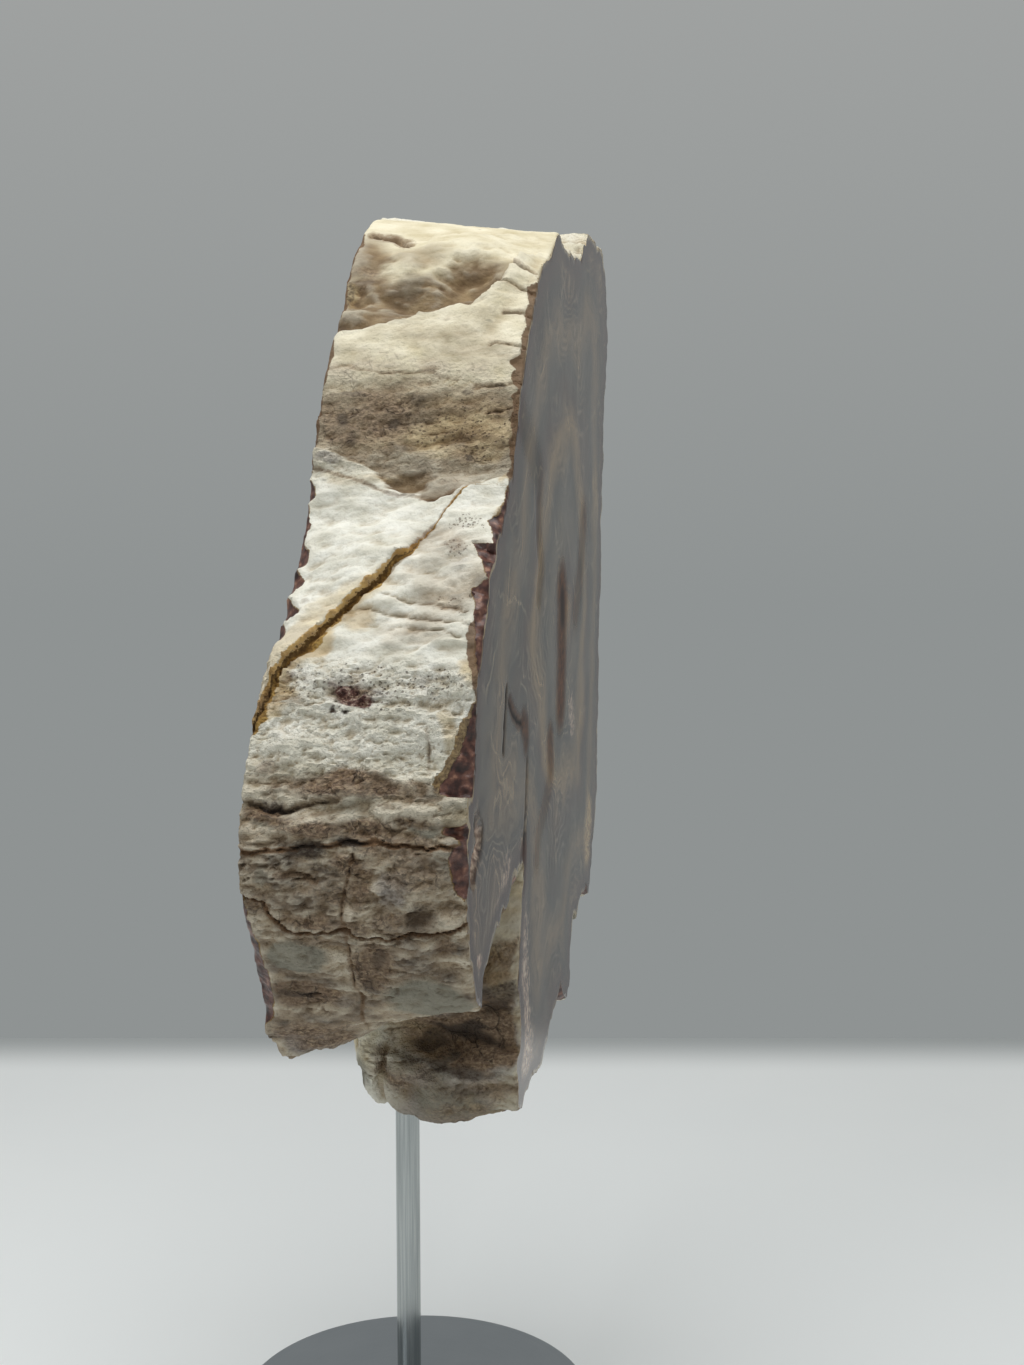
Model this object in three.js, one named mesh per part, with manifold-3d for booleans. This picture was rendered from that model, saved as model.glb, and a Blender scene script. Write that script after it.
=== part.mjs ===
// A slice of petrified wood carried by a metal rod on a round metal base. Millimetres, +Z up.
// The origin is the centre of the base's underside. +X runs from the slice's near side to its far side.
// The slice's polished face looks towards -Y and its sawn back towards +Y.

import * as THREE from 'three';
import { mergeVertices } from 'three/addons/utils/BufferGeometryUtils.js';
import Module from 'manifold-3d';

const wasm = await Module();
wasm.setup();

// Driving dimensions
const SLICE_THICKNESS = 25;
const SLICE_X = -10.7;
const SLICE_FACE_Y = -16.5;
const SLICE_Z = 5.4;
const BASE_RADIUS = 23.5;
const BASE_HEIGHT = 10;
const BASE_FILLET = 0.5;
const BASE_FOOT_CHAMFER = 0.5;
const ROD_RADIUS = 1.6;
const ROD_X = 1.4;
const ROD_Y = 1.2;
const ROD_FOOT_Z = 3.3;
const ROD_TOP_Z = 64;
const GAP = 0.3;

// Mesh fineness
const ROWS_PER_POINT = { nearSide: 5, lobe: 4, notch: 3, lump: 5, underside: 3, farSide: 3, top: 3 };
const ACROSS = [0, 0.035, 0.08, 0.14, 0.22, 0.31, 0.41, 0.51, 0.61, 0.7, 0.79, 0.87, 0.93, 0.97, 1];
const BASE_SIDES = 72;
const FILLET_STEPS = 5;
const ROD_SIDES = 32;

// The slice's outline, from the top of its near side down, along the bottom and back up its far side.
// Each point is [x and z at the polished face, x and z at the back], in the slice's own drawing, whose
// zero point lies at SLICE_X and SLICE_Z. The relief further down uses the same drawing.
const OUTLINE = {
  nearSide: [
    [26.6, 159.7, 26.9, 162.1],
    [20.4, 156.4, 21.0, 159.8],
    [13.6, 154.2, 15.4, 155.6],
    [10.0, 151.6, 11.2, 151.4],
    [7.0, 148.7, 8.5, 147.6],
    [3.2, 144.8, 4.6, 143.4],
    [0.3, 140.8, 1.3, 140.0],
    [-3.4, 135.1, -1.6, 135.2],
    [-5.9, 130.2, -3.9, 130.2],
    [-8.8, 127.0, -5.7, 125.8],
    [-12.6, 124.0, -7.8, 121.8],
    [-17.6, 120.6, -11.5, 118.2],
    [-21.9, 115.8, -15.6, 113.8],
    [-24.9, 111.0, -19.9, 109.4],
    [-27.2, 106.6, -24.2, 105.8],
    [-28.9, 101.0, -27.9, 101.2],
    [-30.9, 96.6, -31.0, 96.6],
    [-33.0, 90.7, -33.1, 90.7],
    [-32.9, 85.5, -33.4, 85.5],
    [-31.9, 79.6, -32.2, 79.8],
    [-29.9, 75.0, -29.9, 75.0],
  ],
  lobe: [
    [-27.6, 71.6, -27.2, 70.2],
    [-24.7, 69.8, -24.4, 64.9],
    [-22.4, 71.4, -21.4, 62.6],
  ],
  notch: [
    [-18.0, 74.2, -17.4, 59.9],
    [-14.0, 76.6, -12.5, 58.4],
    [-8.6, 77.4, -6.6, 58.6],
    [-3.4, 78.2, -1.4, 59.8],
    [0.6, 79.8, 1.4, 60.4],
  ],
  lump: [
    [-0.2, 74.5, 2.0, 59.4],
    [-2.8, 68.5, 2.4, 58.2],
    [-2.6, 63.4, 2.6, 57.0],
    [-1.2, 59.2, 2.4, 55.6],
    [-3.2, 55.6, 2.2, 53.8],
    [-2.6, 51.4, 3.2, 51.2],
    [0.2, 48.2, 6.0, 49.0],
  ],
  underside: [
    [6.5, 48.9, 11.0, 48.8],
    [14.9, 50.2, 17.0, 49.6],
    [21.3, 53.0, 23.0, 51.6],
    [27.5, 54.3, 29.0, 52.4],
    [34.7, 52.9, 35.0, 51.6],
    [38.6, 54.8, 39.6, 53.6],
    [39.9, 59.4, 42.3, 57.5],
    [42.6, 62.9, 45.6, 60.8],
    [49.4, 63.6, 51.2, 61.6],
    [56.0, 63.4, 57.2, 62.4],
  ],
  farSide: [
    [59.8, 67.0, 61.5, 65.5],
    [63.4, 72.4, 64.8, 71.2],
    [66.6, 79.5, 67.6, 78.6],
    [66.8, 88.0, 69.0, 87.0],
    [66.9, 97.0, 70.0, 96.0],
    [68.4, 106.0, 70.8, 105.0],
    [70.0, 115.5, 71.4, 114.5],
    [70.4, 125.0, 72.0, 124.0],
    [71.2, 134.0, 73.4, 133.0],
    [74.0, 143.0, 75.4, 142.0],
    [75.2, 150.5, 76.0, 149.5],
  ],
  top: [
    [74.2, 156.2, 74.8, 156.4],
    [70.2, 159.9, 71.0, 160.8],
    [65.0, 162.3, 65.6, 163.2],
    [58.2, 163.2, 59.0, 164.2],
    [51.5, 161.7, 52.5, 164.5],
    [45.5, 159.2, 46.0, 164.2],
    [38.5, 158.9, 39.0, 163.6],
    [32.2, 159.4, 32.6, 163.0],
  ],
};

// How far in x and z the back's edge is broken away at the lump and just past it, one pair for each point
const BREAK = [
  [2.6, 0.6], [5.0, 0.8], [7.4, 0.6], [9.8, 0.4], [11.4, 0.2], [11.6, 1.0], [10.0, 2.0], [6.8, 1.4], [3.0, 0.6],
];
const BREAK_REACH = 0.2;

// Two curves round the slice, one in each face, with matching points
const outlinePoints = Object.values(OUTLINE).flat();
const pointCount = outlinePoints.length;
const firstBroken = outlinePoints.indexOf(OUTLINE.lump[0]);

function outlineCurve(xColumn, zColumn) {
  const points = outlinePoints.map((point) => new THREE.Vector3(point[xColumn], 0, point[zColumn]));
  return new THREE.CatmullRomCurve3(points, true, 'centripetal');
}

const faceCurve = outlineCurve(0, 1);
const backCurve = outlineCurve(2, 3);

// How far the back's edge is broken away at a row, in full at v = 1 and not at all short of its reach
function breakOffset(row, v) {
  const wrapped = ((row % pointCount) + pointCount) % pointCount;
  const below = Math.floor(wrapped);
  const [start, end] = [below, below + 1].map((point) => BREAK[point - firstBroken] ?? [0, 0]);
  const strength = Math.max(0, 1 - (1 - v) / BREAK_REACH) ** 2;
  const [x, z] = start.map((from, axis) => THREE.MathUtils.lerp(from, end[axis], wrapped - below) * strength);
  return new THREE.Vector3(x, 0, z);
}

// A place on the rim. row counts outline points and may lie between two; v is 0 at the face and 1 at the back.
function rimPoint(row, v) {
  const t = ((row / pointCount) % 1 + 1) % 1;
  return faceCurve.getPoint(t).lerp(backCurve.getPoint(t), v).add(breakOffset(row, v));
}

function rimNormal(row, v) {
  const halfStep = 0.25;
  const along = rimPoint(row + halfStep, v).sub(rimPoint(row - halfStep, v));
  return new THREE.Vector3(along.z, 0, -along.x).normalize();
}

// The rows of the rim's mesh, with more of them where the outline is finer
function rimRows() {
  const rows = [];
  let firstPoint = 0;
  for (const [stretch, points] of Object.entries(OUTLINE)) {
    const perPoint = ROWS_PER_POINT[stretch];
    for (let i = 0; i < points.length * perPoint; i += 1) {
      rows.push(firstPoint + i / perPoint);
    }
    firstPoint += points.length;
  }
  return rows;
}

// Distance round the rim at mid thickness, from the top of the near side, for any row
const ARC_STEPS = 20;
const arcTable = [0];
for (let i = 1; i <= pointCount * ARC_STEPS; i += 1) {
  const step = rimPoint(i / ARC_STEPS, 0.5).distanceTo(rimPoint((i - 1) / ARC_STEPS, 0.5));
  arcTable.push(arcTable[i - 1] + step);
}
const girth = arcTable[arcTable.length - 1];

function arcAt(row) {
  const place = row * ARC_STEPS;
  const below = Math.min(Math.floor(place), arcTable.length - 2);
  return THREE.MathUtils.lerp(arcTable[below], arcTable[below + 1], place - below);
}

// Distance round the rim of the place nearest to a point of the mid-thickness outline
function arcNear(x, z) {
  const target = new THREE.Vector3(x, 0, z);
  let best = 0;
  let bestDistance = Infinity;
  for (let i = 0; i < pointCount * ARC_STEPS; i += 1) {
    const distance = rimPoint(i / ARC_STEPS, 0.5).distanceTo(target);
    if (distance < bestDistance) {
      best = i;
      bestDistance = distance;
    }
  }
  return arcTable[best];
}

function arcBetween(from, to) {
  const apart = Math.abs(from - to) % girth;
  return Math.min(apart, girth - apart);
}

// Shapes of relief
const smoothstep = (low, high, value) => THREE.MathUtils.smoothstep(value, low, high);
const bell = (distance) => Math.max(0, 1 - distance * distance) ** 2;

// Height of a line across the rim at v, from its corners [v, z]
function lineHeight(corners, v) {
  for (let i = 1; i < corners.length; i += 1) {
    const [v0, z0] = corners[i - 1];
    const [v1, z1] = corners[i];
    if (v <= v1) {
      return THREE.MathUtils.mapLinear(Math.max(v, v0), v0, v1, z0, z1);
    }
  }
  return corners[corners.length - 1][1];
}

// A hollow below 0 or a lump above 0, round in outline
function mound(z, v, { at, size, rise }) {
  return rise * bell(Math.hypot((z - at[0]) / size[0], (v - at[1]) / size[1]));
}

// A step that stands proud on one side of its line, above it where fall is positive, and sinks back over fall
function ledge(z, v, { line, rise, fall, from = 0 }) {
  const fade = smoothstep(from - 0.06, from + 0.06, v);
  const distance = (z - lineHeight(line, v)) * Math.sign(fall);
  return rise * smoothstep(-0.9, 0.9, distance) * (1 - smoothstep(0, Math.abs(fall), distance)) * fade;
}

// A groove along a line, with its width at the face and at the back
function groove(z, v, { line, width, depth, from = 0 }) {
  const halfWidth = THREE.MathUtils.lerp(width[0], width[1], v) / 2;
  const fade = smoothstep(from - 0.05, from + 0.05, v);
  return -depth * bell((z - lineHeight(line, v)) / halfWidth) * fade;
}

// A break along an edge, as corners [z, reach in v], that slopes down to the edge. edge is 0 at the face and 1
// at the back.
function chip(z, v, { edge, depth, reach }) {
  const inside = (lineHeight(reach, z) - Math.abs(v - edge)) * SLICE_THICKNESS;
  return -Math.min(depth, 0.25 * smoothstep(0, 0.4, inside) + 0.6 * Math.max(0, inside));
}

// The crack that slants across the near side, open from CRACK_FROM on, and the three level ones under it.
// Corners are [v, height].
const CRACK = [
  [0.18, 127.1], [0.25, 125.6], [0.3, 123.8], [0.33, 122.6], [0.38, 121.2], [0.47, 119.0], [0.57, 116.5],
  [0.7, 113.2], [0.81, 110.6], [0.91, 108.0], [0.95, 106.2], [1, 101.4],
];
const CRACK_FROM = 0.4;
const CRACK_A = [[0.56, 94.2], [0.66, 93.6], [0.78, 93.2], [1, 93.5]];
const CRACK_B = [[0, 89.8], [0.24, 89.5], [0.5, 90.0], [0.6, 89.4], [0.76, 88.9], [1, 88.1]];
const CRACK_C = [[0, 81.0], [0.16, 79.5], [0.36, 79.2], [0.66, 79.5], [0.8, 79.5], [0.9, 82.3], [1, 83.2]];

// The edge of the cream block below the hollow at the top
const CREAM_EDGE = [
  [0.05, 156.6], [0.12, 155.0], [0.19, 151.8], [0.24, 150.0], [0.32, 149.0], [0.4, 148.4], [0.56, 147.4],
  [0.62, 147.0], [0.72, 146.5], [0.83, 145.9], [1, 145.0],
];

// The upper edge of the white plate that the crack runs through
const WHITE_EDGE = [
  [0, 128.6], [0.1, 127.8], [0.2, 126.9], [0.28, 126.0], [0.38, 125.7], [0.5, 126.4], [0.6, 127.4],
  [0.72, 129.4], [0.83, 130.5], [1, 131.8],
];

// Relief of the near side, by height and v
const NEAR_MOUNDS = [
  { at: [157.2, 0.4], size: [2.6, 0.36], rise: 1.5 },
  { at: [152.2, 0.36], size: [3.8, 0.22], rise: -2.8 },
  { at: [150.2, 0.62], size: [2.6, 0.32], rise: -2.0 },
  { at: [155.0, 0.74], size: [2.4, 0.14], rise: 0.9 },
  { at: [155.6, 0.95], size: [3.4, 0.1], rise: 0.8 },
  { at: [150.6, 0.93], size: [1.6, 0.1], rise: -1.3 },
  { at: [147.7, 0.92], size: [2.0, 0.1], rise: 1.3 },
  { at: [152.6, 0.1], size: [3.0, 0.1], rise: 0.7 },
  { at: [141.2, 0.4], size: [4.5, 0.4], rise: 0.6 },
  { at: [134.6, 0.5], size: [4.6, 0.6], rise: -0.7 },
  { at: [127.6, 0.52], size: [1.7, 0.22], rise: -1.3 },
  { at: [126.4, 0.8], size: [4.0, 0.26], rise: 0.5 },
  { at: [121.0, 0.72], size: [5.0, 0.3], rise: 0.7 },
  { at: [117.6, 0.3], size: [1.7, 0.22], rise: 0.6 },
  { at: [115.0, 0.36], size: [1.5, 0.14], rise: -0.5 },
  { at: [105.4, 0.58], size: [1.7, 0.14], rise: -1.2 },
  { at: [106.2, 0.86], size: [1.5, 0.1], rise: -0.7 },
  { at: [106.2, 0.25], size: [1.5, 0.2], rise: -0.5 },
  { at: [101.0, 0.3], size: [4.5, 0.34], rise: 0.6 },
  { at: [99.0, 0.78], size: [3.4, 0.26], rise: 0.8 },
  { at: [91.8, 0.72], size: [2.2, 0.26], rise: 0.8 },
  { at: [92.6, 0.3], size: [2.4, 0.24], rise: 0.5 },
  { at: [85.6, 0.3], size: [3.6, 0.22], rise: 0.7 },
  { at: [86.6, 0.84], size: [2.6, 0.2], rise: 0.7 },
  { at: [81.6, 0.22], size: [1.6, 0.1], rise: -0.8 },
  { at: [76.6, 0.26], size: [3.8, 0.2], rise: 0.6 },
  { at: [76.0, 0.74], size: [3.6, 0.2], rise: 0.7 },
];
const NEAR_LEDGES = [
  { line: CREAM_EDGE, rise: 1.5, fall: -7, from: 0.08 },
  { line: WHITE_EDGE, rise: 0.75, fall: -3 },
  { line: CRACK, rise: 1.0, fall: 9, from: CRACK_FROM },
  { line: [[0, 103.0], [0.37, 103.6], [0.96, 103.9]], rise: 0.6, fall: -3 },
  { line: CRACK_A, rise: 0.6, fall: 4, from: 0.5 },
  { line: CRACK_B, rise: 0.6, fall: 4.5 },
  { line: CRACK_C, rise: 0.5, fall: 3.5 },
];
const NEAR_GROOVES = [
  { line: CRACK, width: [1.8, 2.6], depth: 0.9, from: CRACK_FROM },
  { line: CRACK_A, width: [1.8, 2.0], depth: 0.7, from: 0.6 },
  { line: CRACK_B, width: [1.8, 1.8], depth: 0.6 },
  { line: CRACK_C, width: [1.6, 1.8], depth: 0.6 },
];
const NEAR_CHIPS = [
  { edge: 0, depth: 1.5, reach: [
    [107.5, 0], [111.5, 0.035], [115, 0.06], [116.4, 0.085], [117.3, 0.012], [120.9, 0.11], [122.2, 0.03],
    [123.4, 0.06], [127.2, 0],
  ] },
  { edge: 0, depth: 2.0, reach: [
    [94.9, 0], [95.2, 0.15], [96.4, 0.165], [99.4, 0.09], [102, 0.055], [104.9, 0],
  ] },
  { edge: 0, depth: 1.3, reach: [[83.8, 0], [86, 0.065], [88, 0.075], [89.8, 0.02], [91, 0.105], [92.2, 0]] },
  { edge: 1, depth: 1.3, reach: [
    [109.6, 0], [110.8, 0.03], [112.6, 0.09], [114.3, 0.01], [116.6, 0.075], [117.8, 0.02], [119.3, 0.065],
    [121, 0.02], [126, 0.04], [127.6, 0],
  ] },
  { edge: 1, depth: 1.2, reach: [[66.4, 0], [67.4, 0.05], [72, 0.07], [78, 0.05], [84, 0]] },
];

function nearSideRelief(z, v) {
  const drift = 2.4 * Math.sin(v * 3.1) + 2 * Math.sin(z * 0.37);
  const grain = 0.13 * Math.sin(z * 1.5 + drift) * (1 - smoothstep(121, 126, z));
  return grain
    + NEAR_MOUNDS.reduce((sum, item) => sum + mound(z, v, item), 0)
    + NEAR_LEDGES.reduce((sum, item) => sum + ledge(z, v, item), 0)
    + NEAR_GROOVES.reduce((sum, item) => sum + groove(z, v, item), 0)
    + Math.min(...NEAR_CHIPS.map((item) => chip(z, v, item)));
}

// Relief of the rest of the rim, by distance round it from a named place
const RIM_MOUNDS = [
  { place: [-20.0, 64.5], size: [9, 0.42], v: 0.6, rise: 2.2 },
  { place: [-2.6, 62.0], size: [3.4, 0.24], v: 0.3, rise: 0.7 },
  { place: [-0.6, 57.6], size: [2.2, 0.3], v: 0.42, rise: -0.9 },
  { place: [1.5, 53.0], size: [7, 0.045], v: 0.73, rise: -1.5 },
  { place: [0.8, 52.6], size: [2.6, 0.2], v: 0.4, rise: 0.7 },
  { place: [2.5, 49.0], size: [9, 0.42], v: 0.45, rise: 2.9 },
  { place: [4.4, 49.6], size: [5, 0.13], v: 0.82, rise: 1.8 },
  { place: [17.0, 50.4], size: [5, 0.3], v: 0.35, rise: -0.8 },
  { place: [29.0, 53.4], size: [6, 0.35], v: 0.6, rise: -1.0 },
  { place: [43.0, 61.2], size: [4, 0.3], v: 0.55, rise: -1.1 },
  { place: [53.0, 62.6], size: [5, 0.3], v: 0.3, rise: 0.8 },
  { place: [64.4, 72.0], size: [6, 0.3], v: 0.6, rise: -1.3 },
  { place: [68.0, 84.0], size: [7, 0.34], v: 0.34, rise: 1.0 },
  { place: [68.4, 97.0], size: [5, 0.3], v: 0.7, rise: -1.4 },
  { place: [69.8, 108.0], size: [6, 0.26], v: 0.3, rise: -1.2 },
  { place: [71.2, 121.0], size: [8, 0.4], v: 0.62, rise: 1.1 },
  { place: [72.4, 134.0], size: [5, 0.28], v: 0.36, rise: -1.5 },
  { place: [75.0, 147.0], size: [5, 0.34], v: 0.66, rise: -1.1 },
  { place: [68.0, 161.6], size: [5, 0.3], v: 0.4, rise: 0.6 },
  { place: [56.0, 163.2], size: [6, 0.3], v: 0.5, rise: -1.4 },
  { place: [41.0, 161.9], size: [5, 0.26], v: 0.66, rise: -1.0 },
  { place: [33.0, 161.5], size: [4, 0.26], v: 0.3, rise: 0.6 },
];
const RIM_CHIPS = [
  { place: [-23.6, 67.7], half: 5.0, edge: 0, reach: 0.1, depth: 2.2 },
  { place: [-3.0, 66.0], half: 4.0, edge: 0, reach: 0.09, depth: 1.0 },
  { place: [6.0, 49.0], half: 5.0, edge: 0, reach: 0.12, depth: 1.4 },
  { place: [31.0, 53.0], half: 4.0, edge: 0, reach: 0.1, depth: 1.2 },
  { place: [52.0, 62.6], half: 5.5, edge: 0, reach: 0.12, depth: 0.9 },
  { place: [66.9, 77.6], half: 5.0, edge: 0, reach: 0.1, depth: 0.8 },
  { place: [70.2, 117.0], half: 4.5, edge: 0, reach: 0.1, depth: 1.3 },
  { place: [20.0, 50.8], half: 5.0, edge: 1, reach: 0.1, depth: 1.4 },
  { place: [69.4, 100.0], half: 6.0, edge: 1, reach: 0.1, depth: 1.6 },
  { place: [75.2, 146.0], half: 5.0, edge: 1, reach: 0.12, depth: 1.5 },
  { place: [36.0, 161.6], half: 5.0, edge: 1, reach: 0.1, depth: 1.4 },
];
for (const item of [...RIM_MOUNDS, ...RIM_CHIPS]) {
  item.arc = arcNear(...item.place);
}

// The bark side's lengthwise ribs and shallow steps, which repeat a whole number of times round the rim and are
// shallow beside the dip in the top
const CALM_ARC = arcNear(42.0, 161.6);
const CALM_REACH = 24;

function bark(arc, v) {
  const turn = (2 * Math.PI * arc) / girth;
  const drift = 0.5 * Math.sin(3 * turn + 1) + 0.35 * Math.sin(Math.PI * v * 1.6 + 5 * turn);
  const ribs = 0.3 * Math.sin(61 * turn + 2.2 * drift) + 0.18 * Math.sin(97 * turn + 3 * drift + 1.7);
  const steps = 0.55 * Math.sin(23 * turn + 2.6 * v + 2 * drift);
  const calm = 1 - 0.7 * bell(Math.min(1, arcBetween(arc, CALM_ARC) / CALM_REACH));
  return calm * (ribs + steps) - 0.5;
}

function restOfRimRelief(arc, v) {
  let relief = bark(arc, v);
  for (const item of RIM_MOUNDS) {
    const along = arcBetween(arc, item.arc) / item.size[0];
    relief += item.rise * bell(Math.hypot(along, (v - item.v) / item.size[1]));
  }
  for (const item of RIM_CHIPS) {
    const across = bell(arcBetween(arc, item.arc) / item.half);
    const inward = Math.abs(v - item.edge) / item.reach;
    relief -= item.depth * Math.sqrt(across) * Math.max(0, 1 - inward);
  }
  return relief;
}

// The near side's own relief gives way to the bark's just past its two ends
const nearSideEnd = OUTLINE.nearSide.length;

function reliefAt(row, v, z) {
  const arc = arcAt(row);
  const near = row < nearSideEnd + 4 ? 1 - smoothstep(nearSideEnd + 1, nearSideEnd + 3, row)
    : smoothstep(pointCount - 1, pointCount, row);
  return near * nearSideRelief(z, v) + (1 - near) * restOfRimRelief(arc, v);
}

// The mesh's rows lean with the crack where they are near it, so that it runs along them
const CRACK_REACH = 6;

function rowAtHeight(z, v) {
  let row = 0;
  while (rimPoint(row, v).z > z) {
    row += 0.02;
  }
  return row;
}

const crackRows = ACROSS.map((v) => rowAtHeight(lineHeight(CRACK, Math.max(v, CRACK_FROM)), v));
const crackMiddleRow = (Math.min(...crackRows) + Math.max(...crackRows)) / 2;

function leaningRow(row, column) {
  const lean = crackRows[column] - crackMiddleRow;
  return row + lean * bell((row - crackMiddleRow) / CRACK_REACH);
}

function reliefPoint(row, v) {
  const point = rimPoint(row, v);
  point.addScaledVector(rimNormal(row, v), reliefAt(row, v, point.z));
  return point.add(new THREE.Vector3(SLICE_X, SLICE_FACE_Y + SLICE_THICKNESS * v, SLICE_Z));
}

// The slice: the rim as a net of quads, closed by the two flat faces
function sliceBody() {
  const rows = rimRows();
  const columns = ACROSS.length;
  const net = rows.map((row) => ACROSS.map((v, column) => reliefPoint(leaningRow(row, column), v)));
  const vertices = net.flat();
  const indices = [];
  rows.forEach((_, i) => {
    const next = (i + 1) % rows.length;
    for (let j = 0; j < columns - 1; j += 1) {
      const a = i * columns + j;
      const b = next * columns + j;
      indices.push(a, a + 1, b, b, a + 1, b + 1);
    }
  });
  for (const [column, facesBack] of [[0, false], [columns - 1, true]]) {
    const edge = net.map((line) => new THREE.Vector2(line[column].x, line[column].z));
    for (const [a, b, c] of THREE.ShapeUtils.triangulateShape(edge, [])) {
      const corners = [a, b, c].map((corner) => corner * columns + column);
      indices.push(...(facesBack ? corners.reverse() : corners));
    }
  }
  const geometry = new THREE.BufferGeometry().setFromPoints(vertices);
  geometry.setIndex(indices);
  return geometry;
}

// Closed meshes as solids for cutting, and back
function toSolid(geometry) {
  const bare = geometry.clone();
  bare.deleteAttribute('normal');
  bare.deleteAttribute('uv');
  const merged = mergeVertices(bare, 1e-5);
  return new wasm.Manifold(new wasm.Mesh({
    numProp: 3,
    vertProperties: Float32Array.from(merged.attributes.position.array),
    triVerts: Uint32Array.from(merged.index.array),
  }));
}

function fromSolid(solid) {
  const cut = solid.getMesh();
  const geometry = new THREE.BufferGeometry();
  geometry.setAttribute('position', new THREE.BufferAttribute(cut.vertProperties, 3));
  geometry.setIndex(new THREE.BufferAttribute(cut.triVerts, 1));
  geometry.computeVertexNormals();
  return geometry;
}

function uprightCylinder(radius, low, high) {
  const geometry = new THREE.CylinderGeometry(radius, radius, high - low, ROD_SIDES);
  geometry.rotateX(Math.PI / 2);
  geometry.translate(ROD_X, ROD_Y, (low + high) / 2);
  return geometry;
}

// The blind hole that the rod stands in, from below or above
function rodHole(low, high) {
  return toSolid(uprightCylinder(ROD_RADIUS + GAP, low, high));
}

function makeSlice() {
  const belowSlice = BASE_HEIGHT + 20;
  const bored = toSolid(sliceBody()).subtract(rodHole(belowSlice, ROD_TOP_Z + GAP));
  const material = new THREE.MeshStandardMaterial({ color: 0xc9c2b4, roughness: 0.75, metalness: 0 });
  const mesh = new THREE.Mesh(fromSolid(bored), material);
  mesh.name = 'slice';
  return mesh;
}

function makeRod() {
  const material = new THREE.MeshStandardMaterial({ color: 0x9aa09f, roughness: 0.22, metalness: 1 });
  const mesh = new THREE.Mesh(uprightCylinder(ROD_RADIUS, ROD_FOOT_Z, ROD_TOP_Z), material);
  mesh.name = 'rod';
  return mesh;
}

// The base: a turned disc with a small chamfer at its foot and a rounded upper edge
function makeBase() {
  const profile = [
    new THREE.Vector2(0, 0),
    new THREE.Vector2(BASE_RADIUS - BASE_FOOT_CHAMFER, 0),
    new THREE.Vector2(BASE_RADIUS, BASE_FOOT_CHAMFER),
  ];
  for (let i = 0; i <= FILLET_STEPS; i += 1) {
    const angle = (Math.PI / 2) * (i / FILLET_STEPS);
    const radius = BASE_RADIUS - BASE_FILLET * (1 - Math.cos(angle));
    profile.push(new THREE.Vector2(radius, BASE_HEIGHT - BASE_FILLET * (1 - Math.sin(angle))));
  }
  profile.push(new THREE.Vector2(0, BASE_HEIGHT));
  const disc = new THREE.LatheGeometry(profile, BASE_SIDES);
  disc.rotateX(Math.PI / 2);
  const aboveBase = BASE_HEIGHT + 5;
  const drilled = toSolid(disc).subtract(rodHole(ROD_FOOT_Z - GAP, aboveBase));
  const material = new THREE.MeshStandardMaterial({ color: 0x70757a, roughness: 0.4, metalness: 0.9 });
  const mesh = new THREE.Mesh(fromSolid(drilled), material);
  mesh.name = 'base';
  return mesh;
}

const group = new THREE.Group();
group.name = 'petrified_wood_slice';
group.add(makeSlice(), makeRod(), makeBase());

export default group;
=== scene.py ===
# Looks of a petrified wood slice on a metal rod and a round base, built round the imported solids.
# Sizes are in millimetres until a mesh is made. Places on the slice are in its own drawing, as in the
# part's source: x and z in the plane of the cut, and v across the rim, 0 at the face and 1 at the back.

import math

import bmesh
import bpy
import numpy as np
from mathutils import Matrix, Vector, geometry, noise


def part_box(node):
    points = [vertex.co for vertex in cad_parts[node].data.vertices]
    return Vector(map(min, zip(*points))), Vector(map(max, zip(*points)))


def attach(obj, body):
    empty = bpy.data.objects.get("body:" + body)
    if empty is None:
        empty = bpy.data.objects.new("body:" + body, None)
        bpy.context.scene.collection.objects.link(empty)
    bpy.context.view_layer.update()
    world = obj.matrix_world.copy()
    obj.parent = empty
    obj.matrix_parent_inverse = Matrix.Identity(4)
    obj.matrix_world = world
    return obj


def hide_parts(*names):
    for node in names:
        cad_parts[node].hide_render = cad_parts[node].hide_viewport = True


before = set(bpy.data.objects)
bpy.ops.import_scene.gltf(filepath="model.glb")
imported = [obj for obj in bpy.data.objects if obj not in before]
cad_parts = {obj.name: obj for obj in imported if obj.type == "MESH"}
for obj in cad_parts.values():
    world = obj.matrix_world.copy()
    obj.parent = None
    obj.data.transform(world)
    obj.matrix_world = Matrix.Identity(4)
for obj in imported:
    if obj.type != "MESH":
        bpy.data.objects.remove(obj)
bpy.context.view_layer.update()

MM = 0.001
THICKNESS = 25
SLICE_X = -10.7
SLICE_Z = 5.4
FACE_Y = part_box("slice")[0].y / MM

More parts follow.
